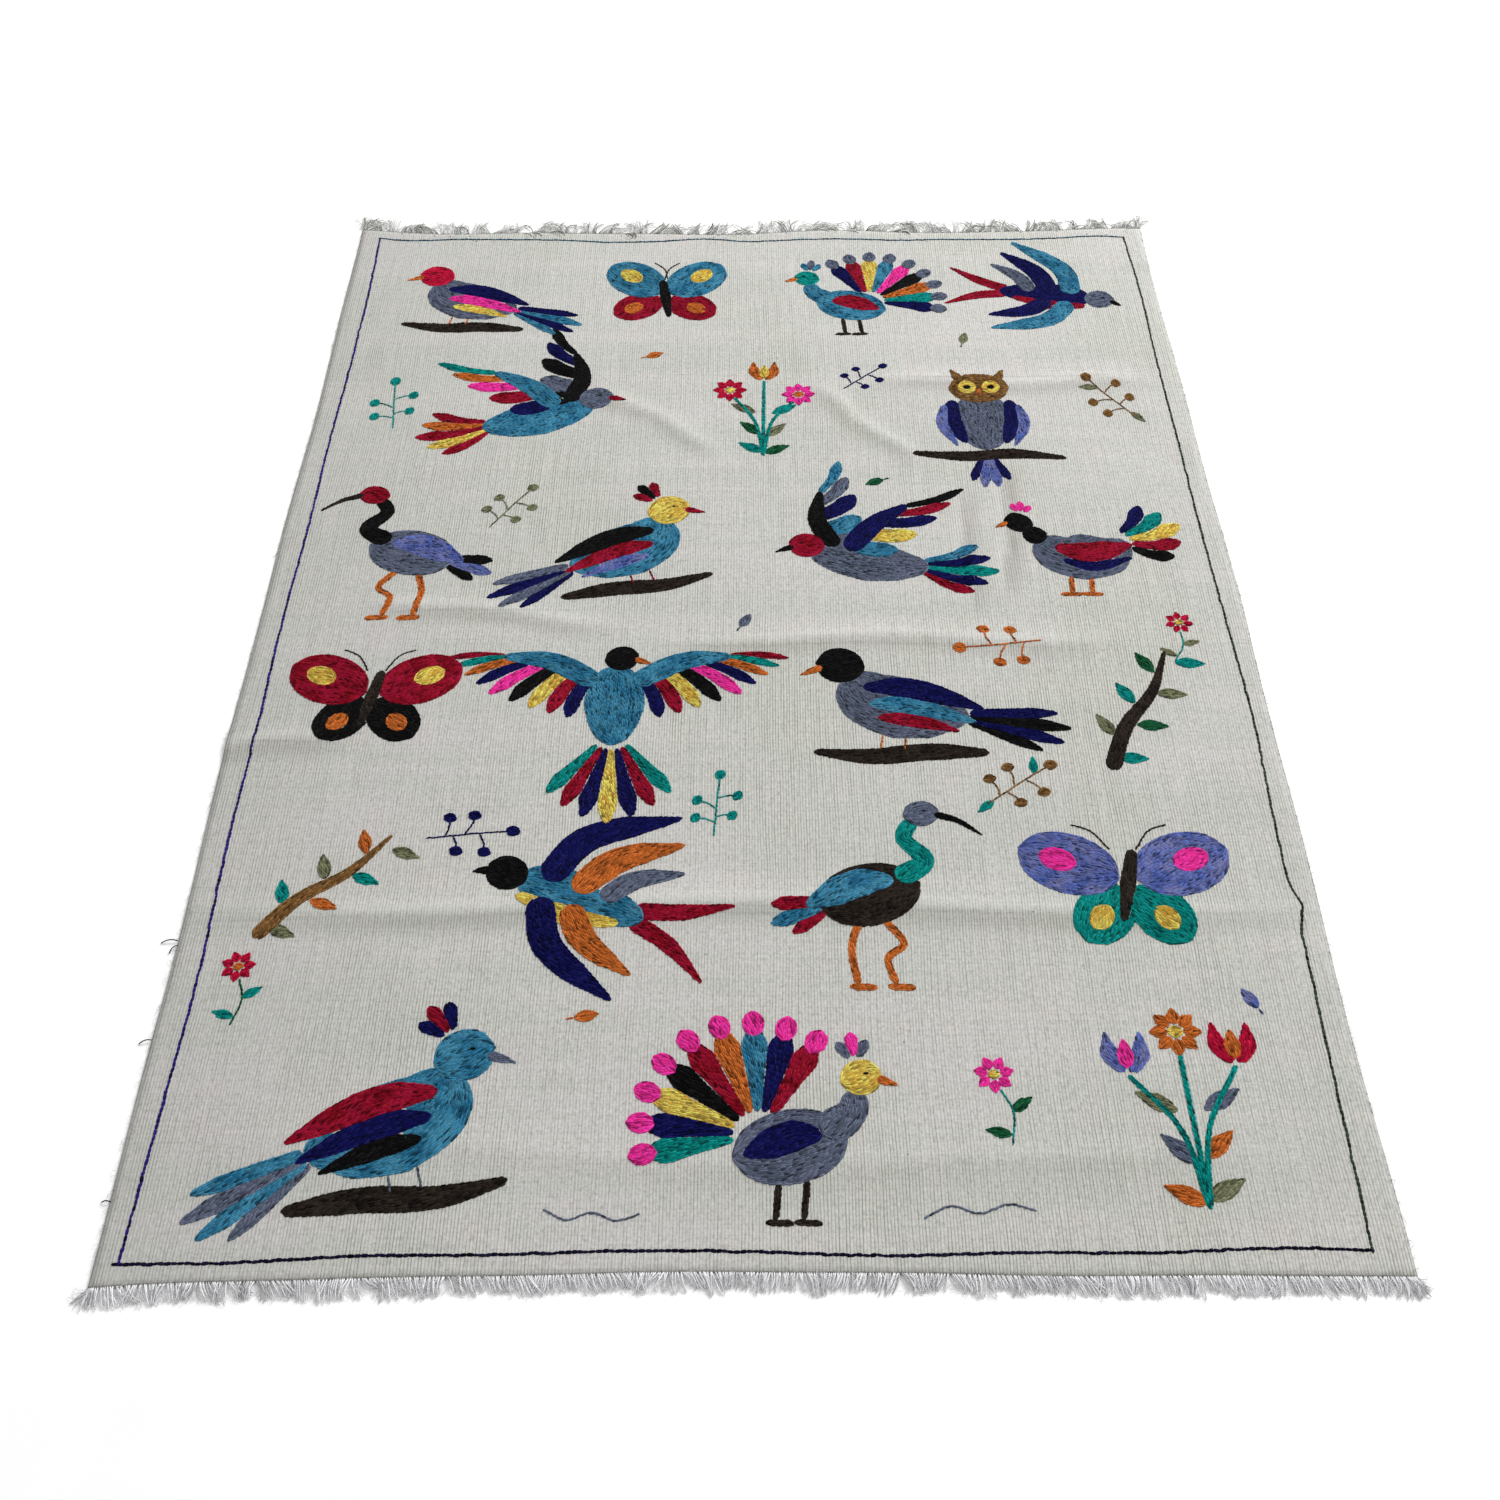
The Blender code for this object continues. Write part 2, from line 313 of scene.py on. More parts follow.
def fold_shade(x, y):
    """Painted shade and light along the pressed lines: 0 for darkest, 1 for lightest, and 0.5 elsewhere."""
    shade = np.zeros_like(x)
    middle, half_width = PAINTED_LIGHT_STRIP
    for fold in table_rows(FOLD_COLUMNS, FOLDS):
        heading = math.radians(fold["heading"])
        along = (x - fold["x"]) * math.cos(heading) + (y - fold["y"]) * math.sin(heading)
        beside = (y - fold["y"]) * math.cos(heading) - (x - fold["x"]) * math.sin(heading)
        beside = beside - fold["bend"] * np.cos(2 * np.pi * FOLD_BOWS * along / fold["length"])
        beside = beside + SHADE_NEARER * math.cos(heading)
        taper = np.clip(FOLD_TAPER * (1 - np.abs(along) / (fold["length"] / 2)), 0, 1)
        reach = np.where(beside < 0, SHADE_REACH["near"], SHADE_REACH["far"])
        painted_shade_share = np.clip(1 - np.abs(beside) / reach, 0, 1)
        painted_light_share = np.clip(1 - np.abs(beside - middle) / half_width, 0, 1)
        shade = shade + taper * (fold["light"] * painted_light_share - fold["dark"] * painted_shade_share)
    return np.clip(0.5 + 0.5 * shade, 0, 1)


def ripple(x, y):
    """Small unevenness of the cloth's upper side, drawn in here and there by the stitching."""
    wave = np.sin(21 * x + 3 * np.sin(7 * y)) * np.sin(17 * y + 2 * np.sin(9 * x + 1))
    wave = wave + 0.5 * np.sin(53 * x + 11 * y + 4 * np.sin(13 * y)) + 0.4 * np.sin(61 * y - 17 * x)
    return RIPPLE_HEIGHT * (0.5 + 0.26 * wave)


def top_height(x, y):
    """The height of the cloth's upper side."""
    return fold_height(x, y) + CLOTH_THICKNESS + ripple(x, y)


# Meshes from arrays

def to_linear(colour):
    """A colour from 0 to 255 as linear values."""
    parts = [part / 255 for part in colour]
    return tuple(part / 12.92 if part <= 0.04045 else ((part + 0.055) / 1.055) ** 2.4 for part in parts)


def new_piece(name, vertices, face_groups):
    """A smooth-shaded object from points and groups of faces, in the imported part's frame."""
    mesh = bpy.data.meshes.new(name)
    vertices = np.asarray(vertices, float) + np.array(SHIFT)
    corners = np.concatenate([group.ravel() for group in face_groups])
    sizes = np.concatenate([np.full(len(group), group.shape[1]) for group in face_groups])
    mesh.vertices.add(len(vertices))
    mesh.vertices.foreach_set("co", vertices.astype(np.float32).ravel())
    mesh.loops.add(len(corners))
    mesh.loops.foreach_set("vertex_index", corners.astype(np.int32))
    mesh.polygons.add(len(sizes))
    starts = np.concatenate(([0], np.cumsum(sizes)[:-1]))
    mesh.polygons.foreach_set("loop_start", starts.astype(np.int32))
    mesh.update(calc_edges=True)
    mesh.shade_smooth()
    piece = bpy.data.objects.new(name, mesh)
    bpy.context.scene.collection.objects.link(piece)
    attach(piece, "root")
    return piece, corners


def add_map(piece, corners, name, across, along):
    """A texture map from two values at each point."""
    layer = piece.data.uv_layers.new(name=name)
    pairs = np.column_stack((across, along)).astype(np.float32)[corners]
    layer.data.foreach_set("uv", pairs.ravel())


def add_tone(piece, values):
    """A value at each point that the material reads as how light the wool is there."""
    attribute = piece.data.attributes.new("tone", "FLOAT", "POINT")
    attribute.data.foreach_set("value", np.asarray(values, np.float32))


# Materials

class Nodes:
    """A material's node tree, with short calls for the nodes that wool needs."""

    def __init__(self, name):
        self.material = bpy.data.materials.new(name)
        self.material.use_nodes = True
        self.tree = self.material.node_tree
        self.shader = self.tree.nodes["Principled BSDF"]

    def put(self, value, socket):
        """Set a socket from a number, a colour, or another node's output."""
        if isinstance(value, bpy.types.NodeSocket):
            self.tree.links.new(value, socket)
        elif isinstance(value, tuple) and len(value) == 3 and socket.type == "RGBA":
            socket.default_value = (*value, 1.0)
        else:
            socket.default_value = value

    def math(self, operation, first, second=0.0, third=None):
        """A sum on one to three values."""
        node = self.tree.nodes.new("ShaderNodeMath")
        node.operation = operation
        self.put(first, node.inputs[0])
        self.put(second, node.inputs[1])
        if third is not None:
            self.put(third, node.inputs[2])
        return node.outputs[0]

    def mix(self, share, first, second, blend="MIX"):
        """A mix of two colours."""
        node = self.tree.nodes.new("ShaderNodeMix")
        node.data_type = "RGBA"
        node.blend_type = blend
        self.put(share, node.inputs["Factor"])
        self.put(first, node.inputs[6])
        self.put(second, node.inputs[7])
        return node.outputs[2]

    def span(self, value, low, high, to_low=0.0, to_high=1.0):
        """A value spread from one span to another, and held inside it."""
        node = self.tree.nodes.new("ShaderNodeMapRange")
        for socket, number in zip(node.inputs[1:5], (low, high, to_low, to_high)):
            socket.default_value = number
        self.put(value, node.inputs[0])
        return node.outputs[0]

    def place(self, scale):
        """The place on the object, stretched by three numbers."""
        coordinates = self.tree.nodes.new("ShaderNodeTexCoord")
        mapping = self.tree.nodes.new("ShaderNodeMapping")
        mapping.inputs["Scale"].default_value = scale
        self.tree.links.new(coordinates.outputs["Object"], mapping.inputs["Vector"])
        return mapping.outputs[0]

    def noise(self, scale, detail=2.0, roughness=0.5, size=1.0):
        """Noise over the object's own place, stretched by three numbers."""
        node = self.tree.nodes.new("ShaderNodeTexNoise")
        node.inputs["Scale"].default_value = size
        node.inputs["Detail"].default_value = detail
        node.inputs["Roughness"].default_value = roughness
        self.tree.links.new(self.place(scale), node.inputs["Vector"])
        return node.outputs[0]

    def map(self, name):
        """The two values of a texture map."""
        node = self.tree.nodes.new("ShaderNodeUVMap")
        node.uv_map = name
        split = self.tree.nodes.new("ShaderNodeSeparateXYZ")
        self.tree.links.new(node.outputs[0], split.inputs[0])
        return split.outputs[0], split.outputs[1]

    def tone(self):
        """The value at each point that says how light the wool is."""
        node = self.tree.nodes.new("ShaderNodeAttribute")
        node.attribute_name = "tone"
        return node.outputs["Fac"]

    def bump(self, height, distance, strength=1.0):
        """Raised detail."""
        node = self.tree.nodes.new("ShaderNodeBump")
        node.inputs["Strength"].default_value = strength
        node.inputs["Distance"].default_value = distance
        self.put(height, node.inputs["Height"])
        self.tree.links.new(node.outputs[0], self.shader.inputs["Normal"])

    def finish(self, colour, roughness, sheen=0.0, specular=0.15):
        """The shader's own values, and the material."""
        self.put(colour, self.shader.inputs["Base Color"])
        self.shader.inputs["Roughness"].default_value = roughness
        self.shader.inputs["Specular IOR Level"].default_value = specular
        self.shader.inputs["Sheen Weight"].default_value = sheen
        self.shader.inputs["Sheen Roughness"].default_value = 0.6
        return self.material


def crease_dip_and_shade(nodes, rib, pick):
    """How close a point of the cloth is to one of the pressed lines where the rug was folded, for their dip and painted
    shade.
    """
    wander = nodes.math("MULTIPLY", nodes.math("SUBTRACT", nodes.noise((3.0, 3.0, 1.0), 2.0), 0.5), 14.0)
    total = None
    for crease in table_rows(CREASE_COLUMNS, CREASES):
        middle = crease["y"] / CLOTH_LENGTH * PICKS_ALONG
        offset = nodes.math("ABSOLUTE", nodes.math("SUBTRACT", nodes.math("ADD", pick, wander), middle))
        line_here = nodes.span(offset, 0.6, 2.6, crease["depth"], 0.0)
        start = (crease["from_x"] / CLOTH_WIDTH + 0.5) * RIBS_ACROSS
        end = (crease["to_x"] / CLOTH_WIDTH + 0.5) * RIBS_ACROSS
        fade_in = nodes.span(rib, start - 12, start + 12)
        fade_out = nodes.span(rib, end - 12, end + 12, 1.0, 0.0)
        line_here = nodes.math("MULTIPLY", line_here, nodes.math("MULTIPLY", fade_in, fade_out))
        total = line_here if total is None else nodes.math("MAXIMUM", total, line_here)
    return total


def dark_specks(nodes, scale, chosen_above, size):
    """Small dark flecks of other wool, scattered over the cloth."""
    specks = nodes.tree.nodes.new("ShaderNodeTexVoronoi")
    specks.inputs["Scale"].default_value = scale
    specks.inputs["Randomness"].default_value = 1.0
    nodes.tree.links.new(nodes.place((1.0, 1.0, 0.0)), specks.inputs["Vector"])
    near_speck = nodes.span(specks.outputs["Distance"], 0.5 * size, size, 1.0, 0.0)
    chosen = nodes.math("GREATER_THAN", nodes.noise((9.0, 9.0, 1.0), 1.0), chosen_above)
    return nodes.math("MULTIPLY", near_speck, chosen)


def ground_material():
    """Off-white wool over lengthwise ribs of uneven clearness, heathered, with soft bands of other dye lots and painted
    shade.
    """
    nodes = Nodes("ground_wool")
    rib, pick = nodes.map("weave")
    sway = nodes.math("MULTIPLY", nodes.math("SUBTRACT", nodes.noise((16.0, 5.0, 1.0), 2.0), 0.5), 1.6)
    wave = nodes.math("SINE", nodes.math("MULTIPLY", nodes.math("ADD", rib, sway), math.pi))
    crest = nodes.math("ABSOLUTE", wave)
    patches = nodes.noise((2.6, 2.2, 1.0), 3.0, 0.55)
    rib_depth = nodes.span(nodes.noise((190.0, 7.0, 1.0), 2.0, 0.6), 0.36, 0.62, 0.35, 1.0)
    rib_depth = nodes.math("MULTIPLY", rib_depth, nodes.span(patches, 0.36, 0.62, 0.60, 1.0))
    # The cloth's tone holds the folds' painted shade and light; along the pressed lines the ribs also run deeper.
    fold = nodes.tone()
    rib_depth = nodes.math("ADD", rib_depth, nodes.span(fold, 0.5, 0.1, 0.0, 0.35))

    bands = nodes.noise((0.7, 13.0, 1.0), 3.0, 0.6)
    streaks = nodes.noise((6.0, 260.0, 1.0), 3.0, 0.65)
    dashes = nodes.noise((300.0, 95.0, 1.0), 3.0, 0.7)
    heather = nodes.noise((230.0, 210.0, 230.0), 3.0, 0.7)
    colour = nodes.mix(nodes.span(bands, 0.38, 0.62), to_linear((188, 189, 184)), to_linear((197, 194, 191)))
    colour = nodes.mix(nodes.span(patches, 0.40, 0.66, 0.0, 0.45), colour, to_linear((186, 191, 177)))
    tint = nodes.noise((19.0, 11.0, 1.0), 3.0, 0.65)
    colour = nodes.mix(nodes.span(tint, 0.50, 0.72, 0.0, 0.28), colour, to_linear((208, 192, 194)))
    colour = nodes.mix(nodes.span(streaks, 0.46, 0.70, 0.0, 0.30), colour, to_linear((164, 165, 158)))
    colour = nodes.mix(nodes.span(dashes, 0.50, 0.72, 0.0, 0.55), colour, to_linear((140, 141, 134)))
    colour = nodes.mix(nodes.span(heather, 0.52, 0.72, 0.0, 0.50), colour, to_linear((134, 134, 128)))
    colour = nodes.mix(nodes.span(heather, 0.46, 0.30, 0.0, 0.45), colour, to_linear((216, 216, 212)))
    # Painted shade in the grooves between the ribs.
    groove_shade = nodes.math("MULTIPLY", nodes.span(crest, 0.0, 0.75, 0.84, 0.0), rib_depth)
    colour = nodes.mix(groove_shade, colour, to_linear((118, 118, 111)))

    # The left side is painted a little darker, as shade. The last picks at both ends make a thin dark line, partly
    # their own colour and partly painted shadow where the fringe leaves the cloth.
    left = nodes.span(nodes.math("ADD", rib, nodes.math("MULTIPLY", patches, 60.0)), 20.0, 130.0, 0.22, 0.0)
    colour = nodes.mix(left, colour, to_linear((150, 148, 146)))
    from_end = nodes.math("MINIMUM", pick, nodes.math("SUBTRACT", float(PICKS_ALONG), pick))
    knots = nodes.span(nodes.noise((95.0, 1.0, 1.0), 2.0), 0.40, 0.60, 0.35, 0.95)
    end_line_and_shadow = nodes.math("MULTIPLY", nodes.span(from_end, 0.8, 2.2, 1.0, 0.0), knots)
    colour = nodes.mix(end_line_and_shadow, colour, to_linear((92, 92, 88)))

    # Painted shade along the folds' pressed lines, and painted light beside them.
    colour = nodes.mix(nodes.span(fold, 0.5, 0.0, 0.0, 0.62), colour, to_linear((140, 137, 128)))
    colour = nodes.mix(nodes.span(fold, 0.5, 1.0, 0.0, 0.70), colour, to_linear((222, 220, 215)))
    # The crease lines are painted shade in the colour, and a dip in the bump.
    creases = crease_dip_and_shade(nodes, rib, pick)
    colour = nodes.mix(nodes.math("MULTIPLY", creases, 0.55), colour, to_linear((128, 128, 122)))
    colour = nodes.mix(dark_specks(nodes, 26.0, 0.55, 0.036), colour, to_linear((70, 68, 66)))
    at_far_end = nodes.math("MULTIPLY", dark_specks(nodes, 60.0, 0.44, 0.15),
                            nodes.math("GREATER_THAN", pick, PICKS_ALONG - 22.0))
    colour = nodes.mix(at_far_end, colour, to_linear((64, 64, 62)))

    height = nodes.math("MULTIPLY", nodes.math("POWER", crest, 0.7), nodes.math("MULTIPLY", rib_depth, 0.9))
    height = nodes.math("ADD", height, nodes.math("MULTIPLY", heather, 0.9))
    height = nodes.math("ADD", height, nodes.math("MULTIPLY", streaks, 0.5))
    height = nodes.math("SUBTRACT", height, nodes.math("MULTIPLY", creases, 0.9))
    nodes.bump(height, 0.0009, 0.9)
    return nodes.finish(colour, 0.94, 0.06)


def yarn_material(name):
    """Thick wool yarn: two colours of one dye, a lighter or darker stitch here and there, the ply's turns, and painted
    shade.
    """
    nodes = Nodes("yarn_" + name)
    base = to_linear(YARNS[name])
    second = to_linear(YARN_SHIFTS.get(name, tuple(min(255, part * YARN_SHIFT) for part in YARNS[name])))
    along, beside = nodes.map("yarn")
    dye = nodes.noise((34.0, 34.0, 10.0), 2.0, 0.6)
    colour = nodes.mix(nodes.span(dye, 0.38, 0.62), base, second)
    tone = nodes.tone()
    light = tuple(min(1.0, part * 1.75 + 0.010) for part in base)
    deepness = 0.14 + 0.30 * sum(base) / 3
    dark = tuple(part * deepness for part in base)
    colour = nodes.mix(nodes.span(tone, 0.55, 1.0, 0.0, 0.70), colour, light)
    colour = nodes.mix(nodes.span(tone, 0.48, 0.0, 0.0, 0.90), colour, dark)
    # Painted shade along each stitch's sides, where it meets its neighbours.
    side = nodes.math("ABSOLUTE", beside)
    colour = nodes.mix(nodes.span(side, 0.35, 1.0, 0.0, 0.95), colour, dark)
    twist = nodes.math("ADD", nodes.math("MULTIPLY", along, 2 * math.pi), nodes.math("MULTIPLY", beside, 2.2))
    ply = nodes.math("ABSOLUTE", nodes.math("SINE", twist))
    # Painted shade in the grooves between the ply's turns, which also make the bump.
    colour = nodes.mix(nodes.span(ply, 0.0, 0.45, 0.30, 0.0), colour, dark)
    fuzz = nodes.noise((900.0, 900.0, 900.0), 2.0, 0.7)
    nodes.bump(nodes.math("ADD", ply, nodes.math("MULTIPLY", fuzz, 0.6)), 0.0005, 0.8)
    return nodes.finish(colour, 0.95, 0.02, 0.04)


def fringe_material(name, light, dark):
    """Twisted warp ends in undyed yarn, with a darker end here and there, and painted shade between the ply's turns."""
    nodes = Nodes(name)
    along, around = nodes.map("yarn")
    colour = nodes.mix(nodes.tone(), to_linear(dark), to_linear(light))
    turns = nodes.math("ADD", nodes.math("MULTIPLY", along, 2 * math.pi), nodes.math("MULTIPLY", around, math.pi))
    ply = nodes.math("ABSOLUTE", nodes.math("SINE", turns))
    # Painted shade in the grooves between the ply's turns.
    colour = nodes.mix(nodes.span(ply, 0.0, 0.5, 0.25, 0.0), colour, to_linear(dark))
    fuzz = nodes.noise((700.0, 700.0, 700.0), 2.0, 0.7)
    nodes.bump(nodes.math("ADD", ply, nodes.math("MULTIPLY", fuzz, 0.5)), 0.0004, 0.8)
    return nodes.finish(colour, 0.94, 0.10)


def floor_material():
    """A plain white floor."""
    nodes = Nodes("floor")
    grain = nodes.noise((3.0, 3.0, 3.0), 2.0, 0.5)
    colour = nodes.mix(nodes.span(grain, 0.3, 0.7), (0.94, 0.94, 0.94), (0.96, 0.96, 0.96))
    return nodes.finish(colour, 0.8)


# The woven ground

def build_cloth():
    """The ground: one closed sheet on the outline and the folds, with a map for the weave on both sides."""
    wide = round(CLOTH_WIDTH / CELL_ACROSS) + 1
    long = round(CLOTH_LENGTH / CELL_ALONG) + 1
    along, across = np.meshgrid(np.linspace(0, 1, long), np.linspace(0, 1, wide), indexing="ij")
    across = across.ravel()
    along = along.ravel()
    x, y = outline_point(across, along)
    # The two selvedges are a little uneven, and the sheet thins to a rounded edge.
    from_side = np.minimum(across, 1 - across) * CLOTH_WIDTH
    from_end = np.minimum(along, 1 - along) * CLOTH_LENGTH
    rounding = np.clip(np.minimum(from_side, from_end) / (2 * CELL_ACROSS), 0, 1)
    lift = fold_height(x, y)
    top = np.column_stack((x, y, top_height(x, y) - 0.0009 * (1 - rounding) ** 2))
    bottom = np.column_stack((x, y, lift + 0.0002 * (1 - rounding)))
    layer = len(x)
    index = np.arange(layer).reshape(long, wide)
    a, b = index[:-1, :-1].ravel(), index[:-1, 1:].ravel()
    c, d = index[1:, 1:].ravel(), index[1:, :-1].ravel()
    upper = np.column_stack((a, b, c, d))
    lower = np.column_stack((a, d, c, b)) + layer
    rim = np.concatenate((index[0, :-1], index[:-1, -1], index[-1, :0:-1], index[:0:-1, 0]))
    following = np.roll(rim, -1)
    wall = np.column_stack((rim + layer, following + layer, following, rim))
    cloth, corners = new_piece("cloth_wool", np.vstack((top, bottom)), [upper, lower, wall])
    both = np.concatenate((across, across))
    lengthwise = np.concatenate((along, along))
    side = np.repeat((0.0, 0.5), layer)
    add_map(cloth, corners, "OFBake", 0.005 + side + both * 0.49, 0.005 + lengthwise * 0.66)
    add_map(cloth, corners, "weave", both * RIBS_ACROSS, lengthwise * PICKS_ALONG)
    # The tone carries the folds' painted shade and painted light.
    add_tone(cloth, np.tile(fold_shade(x, y), 2))
    cloth.data.materials.append(ground_material())
    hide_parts("cloth")
    return cloth


# Stitches

stitches = {yarn: [] for yarn in YARNS}
beds = {yarn: [] for yarn in YARNS}
cover = np.zeros((int(CLOTH_WIDTH / COVER_CELL) + 2, int(CLOTH_LENGTH / COVER_CELL) + 2), dtype=np.int32)
bands_drawn = 0


class Place:
    """Where a motif goes: its middle on the cloth, its size, its tilt, and the way that it faces.

    Layers counts the motif's bands: an earlier band lies over the later ones.
    """

    def __init__(self, x, y, size=1.0, tilt=0.0, faces="right"):
        self.x = x
        self.y = y
        self.size = size * 0.01
        self.tilt = math.radians(tilt)
        self.flip = 1 if faces == "right" else -1
        self.layers = itertools.count()

    def on_cloth(self, points):
        """Points of the motif's own drawing, in centimetres, as points of the cloth, in metres."""
        points = np.asarray(points, float) * self.size
        x = points[:, 0] * math.cos(self.tilt) - points[:, 1] * math.sin(self.tilt)
        y = points[:, 0] * math.sin(self.tilt) + points[:, 1] * math.cos(self.tilt)
        return np.column_stack((self.x + self.flip * x, self.y + y))

    def mirrored(self):
        """The same place, with the motif facing the other way."""
        other = copy.copy(self)
        other.flip = -self.flip
        return other


def smooth_curve(points, count):
    """Close points along a smooth curve through the given points, and how far along it each one is."""
    points = np.asarray(points, float)
    ends = np.vstack((2 * points[0] - points[1], points, 2 * points[-1] - points[-2]))
    spans = len(points) - 1
    place = np.linspace(0, spans, count * spans + 1)
    span = np.minimum(place.astype(int), spans - 1)
    t = (place - span)[:, None]
    a, b, c, d = (ends[span + shift] for shift in range(4))
    curve = 0.5 * (2 * b + (c - a) * t + (2 * a - 5 * b + 4 * c - d) * t ** 2 + (3 * b - a - 3 * c + d) * t ** 3)
    steps = np.hypot(*np.diff(curve, axis=0).T)
    return curve, np.concatenate(([0.0], np.cumsum(steps)))


def cell_of(x, y):
    """The cell of the cover map that holds a point."""
    return int((x + CLOTH_WIDTH / 2) / COVER_CELL), int(y / COVER_CELL)


def free_part(number, start, end):
    """The first and last share of a stitch that lies clear of the bands that are already there."""
    shares = (0.05, 0.2, 0.35, 0.5, 0.65, 0.8, 0.95)
    clear = []
    for share in shares:
        cell = cell_of(start[0] + (end[0] - start[0]) * share, start[1] + (end[1] - start[1]) * share)
        clear.append(cover[cell] in (0, number))
    if all(clear):
        return 0.0, 1.0
    best = (0.0, 0.0)
    first = None
    for share, is_clear in zip(shares + (1.0,), clear + [False]):
        if is_clear and first is None:
            first = share
        if not is_clear and first is not None:
            if share - first > best[1] - best[0]:
                best = (first, share)
            first = None
    return best


def add_stitch(yarn, number, start, end, width):
    """One stitch, shortened to the part of it that lies free."""
    first, last = free_part(number, start, end)
    if last - first < LEAST_STITCH_SHARE:
        return
    run = (end[0] - start[0], end[1] - start[1])
    end = (start[0] + run[0] * last, start[1] + run[1] * last)
    start = (start[0] + run[0] * first, start[1] + run[1] * first)
    stitches[yarn].append((*start, *end, width))


class Band:
    """A band's smooth spine and its width along it. Widths are in metres, at even places; both ends are round."""

    def __init__(self, spine, widths):
        self.curve, self.reach = smooth_curve(spine, 14)
        self.length = self.reach[-1]
        self.ahead = np.gradient(self.curve, self.reach, axis=0)
        self.ahead /= np.hypot(self.ahead[:, 0], self.ahead[:, 1])[:, None]
        self.marks = np.linspace(0, self.length, len(widths))
        self.widths = np.asarray(widths, float)

    def room(self, distance):
        """The width at distances along the spine."""
        room = np.interp(distance, self.marks, self.widths)
        for gap, end_width in ((distance, self.widths[0]), (self.length - distance, self.widths[-1])):
            share = np.clip(2 * gap / end_width, 0, 1)
            room = room * np.sqrt(share * (2 - share))
        return room

    def points(self, distance, side):
        """Points at distances along the spine and to its left."""
        x = np.interp(distance, self.reach, self.curve[:, 0]) - np.interp(distance, self.reach, self.ahead[:, 1]) * side
        y = np.interp(distance, self.reach, self.curve[:, 1]) + np.interp(distance, self.reach, self.ahead[:, 0]) * side
        return x, y

    def grid(self, step_along, step_across, inset):
        """A grid of points that fills the band."""
        long = max(2, math.ceil(self.length / step_along)) + 1
        wide = max(1, math.ceil(self.widths.max() / step_across)) + 1
        distance, share = np.meshgrid(np.linspace(0, self.length, long), np.linspace(-0.5, 0.5, wide), indexing="ij")
        return self.points(distance, share * np.maximum(0.0005, self.room(distance) - 2 * inset))


def claim(number, shape):
    """Note the cells of the cover map that a band fills, where no other band does."""
    x, y = shape.grid(0.8 * COVER_CELL, 0.8 * COVER_CELL, 0.0)
    columns = ((x + CLOTH_WIDTH / 2) / COVER_CELL).astype(int).ravel()
    rows = (y / COVER_CELL).astype(int).ravel()
    free = cover[columns, rows] == 0
    cover[columns[free], rows[free]] = number


def bare_cells(number, x, y):
    """Which cells of a band's grid have a corner where that band is the one on top."""
    on_top = cover[((x + CLOTH_WIDTH / 2) / COVER_CELL).astype(int), (y / COVER_CELL).astype(int)] == number
    return on_top[:-1, :-1] | on_top[1:, :-1] | on_top[1:, 1:] | on_top[:-1, 1:]


def lay_band(yarn, spine, widths, layer):
    """Rows of stitches that fill a band along a spine on the cloth, over a bed of the same wool painted dark as shade.

    The rows follow the outline: where the band narrows they draw together, and some of them stop.
    """
    global bands_drawn
    bands_drawn += 1
    shape = Band(spine, widths)
    claim(bands_drawn, shape)
    x, y = shape.grid(*BED_CELL, BED_INSET)
    beds[yarn].append((x, y, top_height(x, y) + BED_HEIGHT - layer * BED_STEP, bare_cells(bands_drawn, x, y)))
    rows = max(1, round(max(widths) / ROW_PITCH))
    longest = min(STITCH_STEP, max(LEAST_STEP, shape.length / STITCHES_IN_BAND))
    for row in range(rows):
        distance = -longest * (0.5 * (row % 2) + 0.3 * random.random())
        while distance < shape.length:
            step = longest * (0.85 + 0.3 * random.random())
            start = max(0.0, distance)
            end = min(shape.length, distance + step)
            distance += step
            if end - start < LEAST_STITCH_SHARE * longest and rows > 1:
                continue
            room = shape.room((start + end) / 2)
            kept = min(rows, max(1, round(room / ROW_PITCH)))
            place = row * kept // rows
            if (row + 1) * kept // rows == place:
                continue
            on_outline = place in (0, kept - 1)
            slant = math.radians(STITCH_SLANT + 4 * random.normal()) * (OUTLINE_SLANT_SHARE if on_outline else 1.0)
            spots = np.array((start - STITCH_OVERLAP / 2, end + STITCH_OVERLAP / 2))
            side = ((place + 0.5) / kept - 0.5) * shape.room(spots) + 0.0003 * random.normal()
            x, y = shape.points(spots, side + math.tan(slant) * (spots - spots.mean()))
            width = max(0.75 * ROW_PITCH, room / kept) * STITCH_SPREAD * (0.94 + 0.14 * random.random())
            add_stitch(yarn, bands_drawn, (x[0], y[0]), (x[1], y[1]), width)


def stitch_template():
    """A stitch's points, as shares of its length, half width and height, and its triangles and quads.

    Three ribs of three points make a plump arch between its two ends.
    """
    points = [(0.0, 0.0, 0.05)]
    for along, wide, high in STITCH_RIBS:
        points += [(along, -wide, 0.05), (along, 0.0, high), (along, wide, 0.05)]
    points.append((1.0, 0.0, 0.05))
    last = len(points) - 1
    triangles = [(0, 2, 1), (0, 3, 2), (last, last - 3, last - 2), (last, last - 2, last - 1)]
    quads = [(rib + side, rib + side + 1, rib + side + 4, rib + side + 3) for rib in (1, 4) for side in (0, 1)]
    return np.array(points), np.array(triangles), np.array(quads)


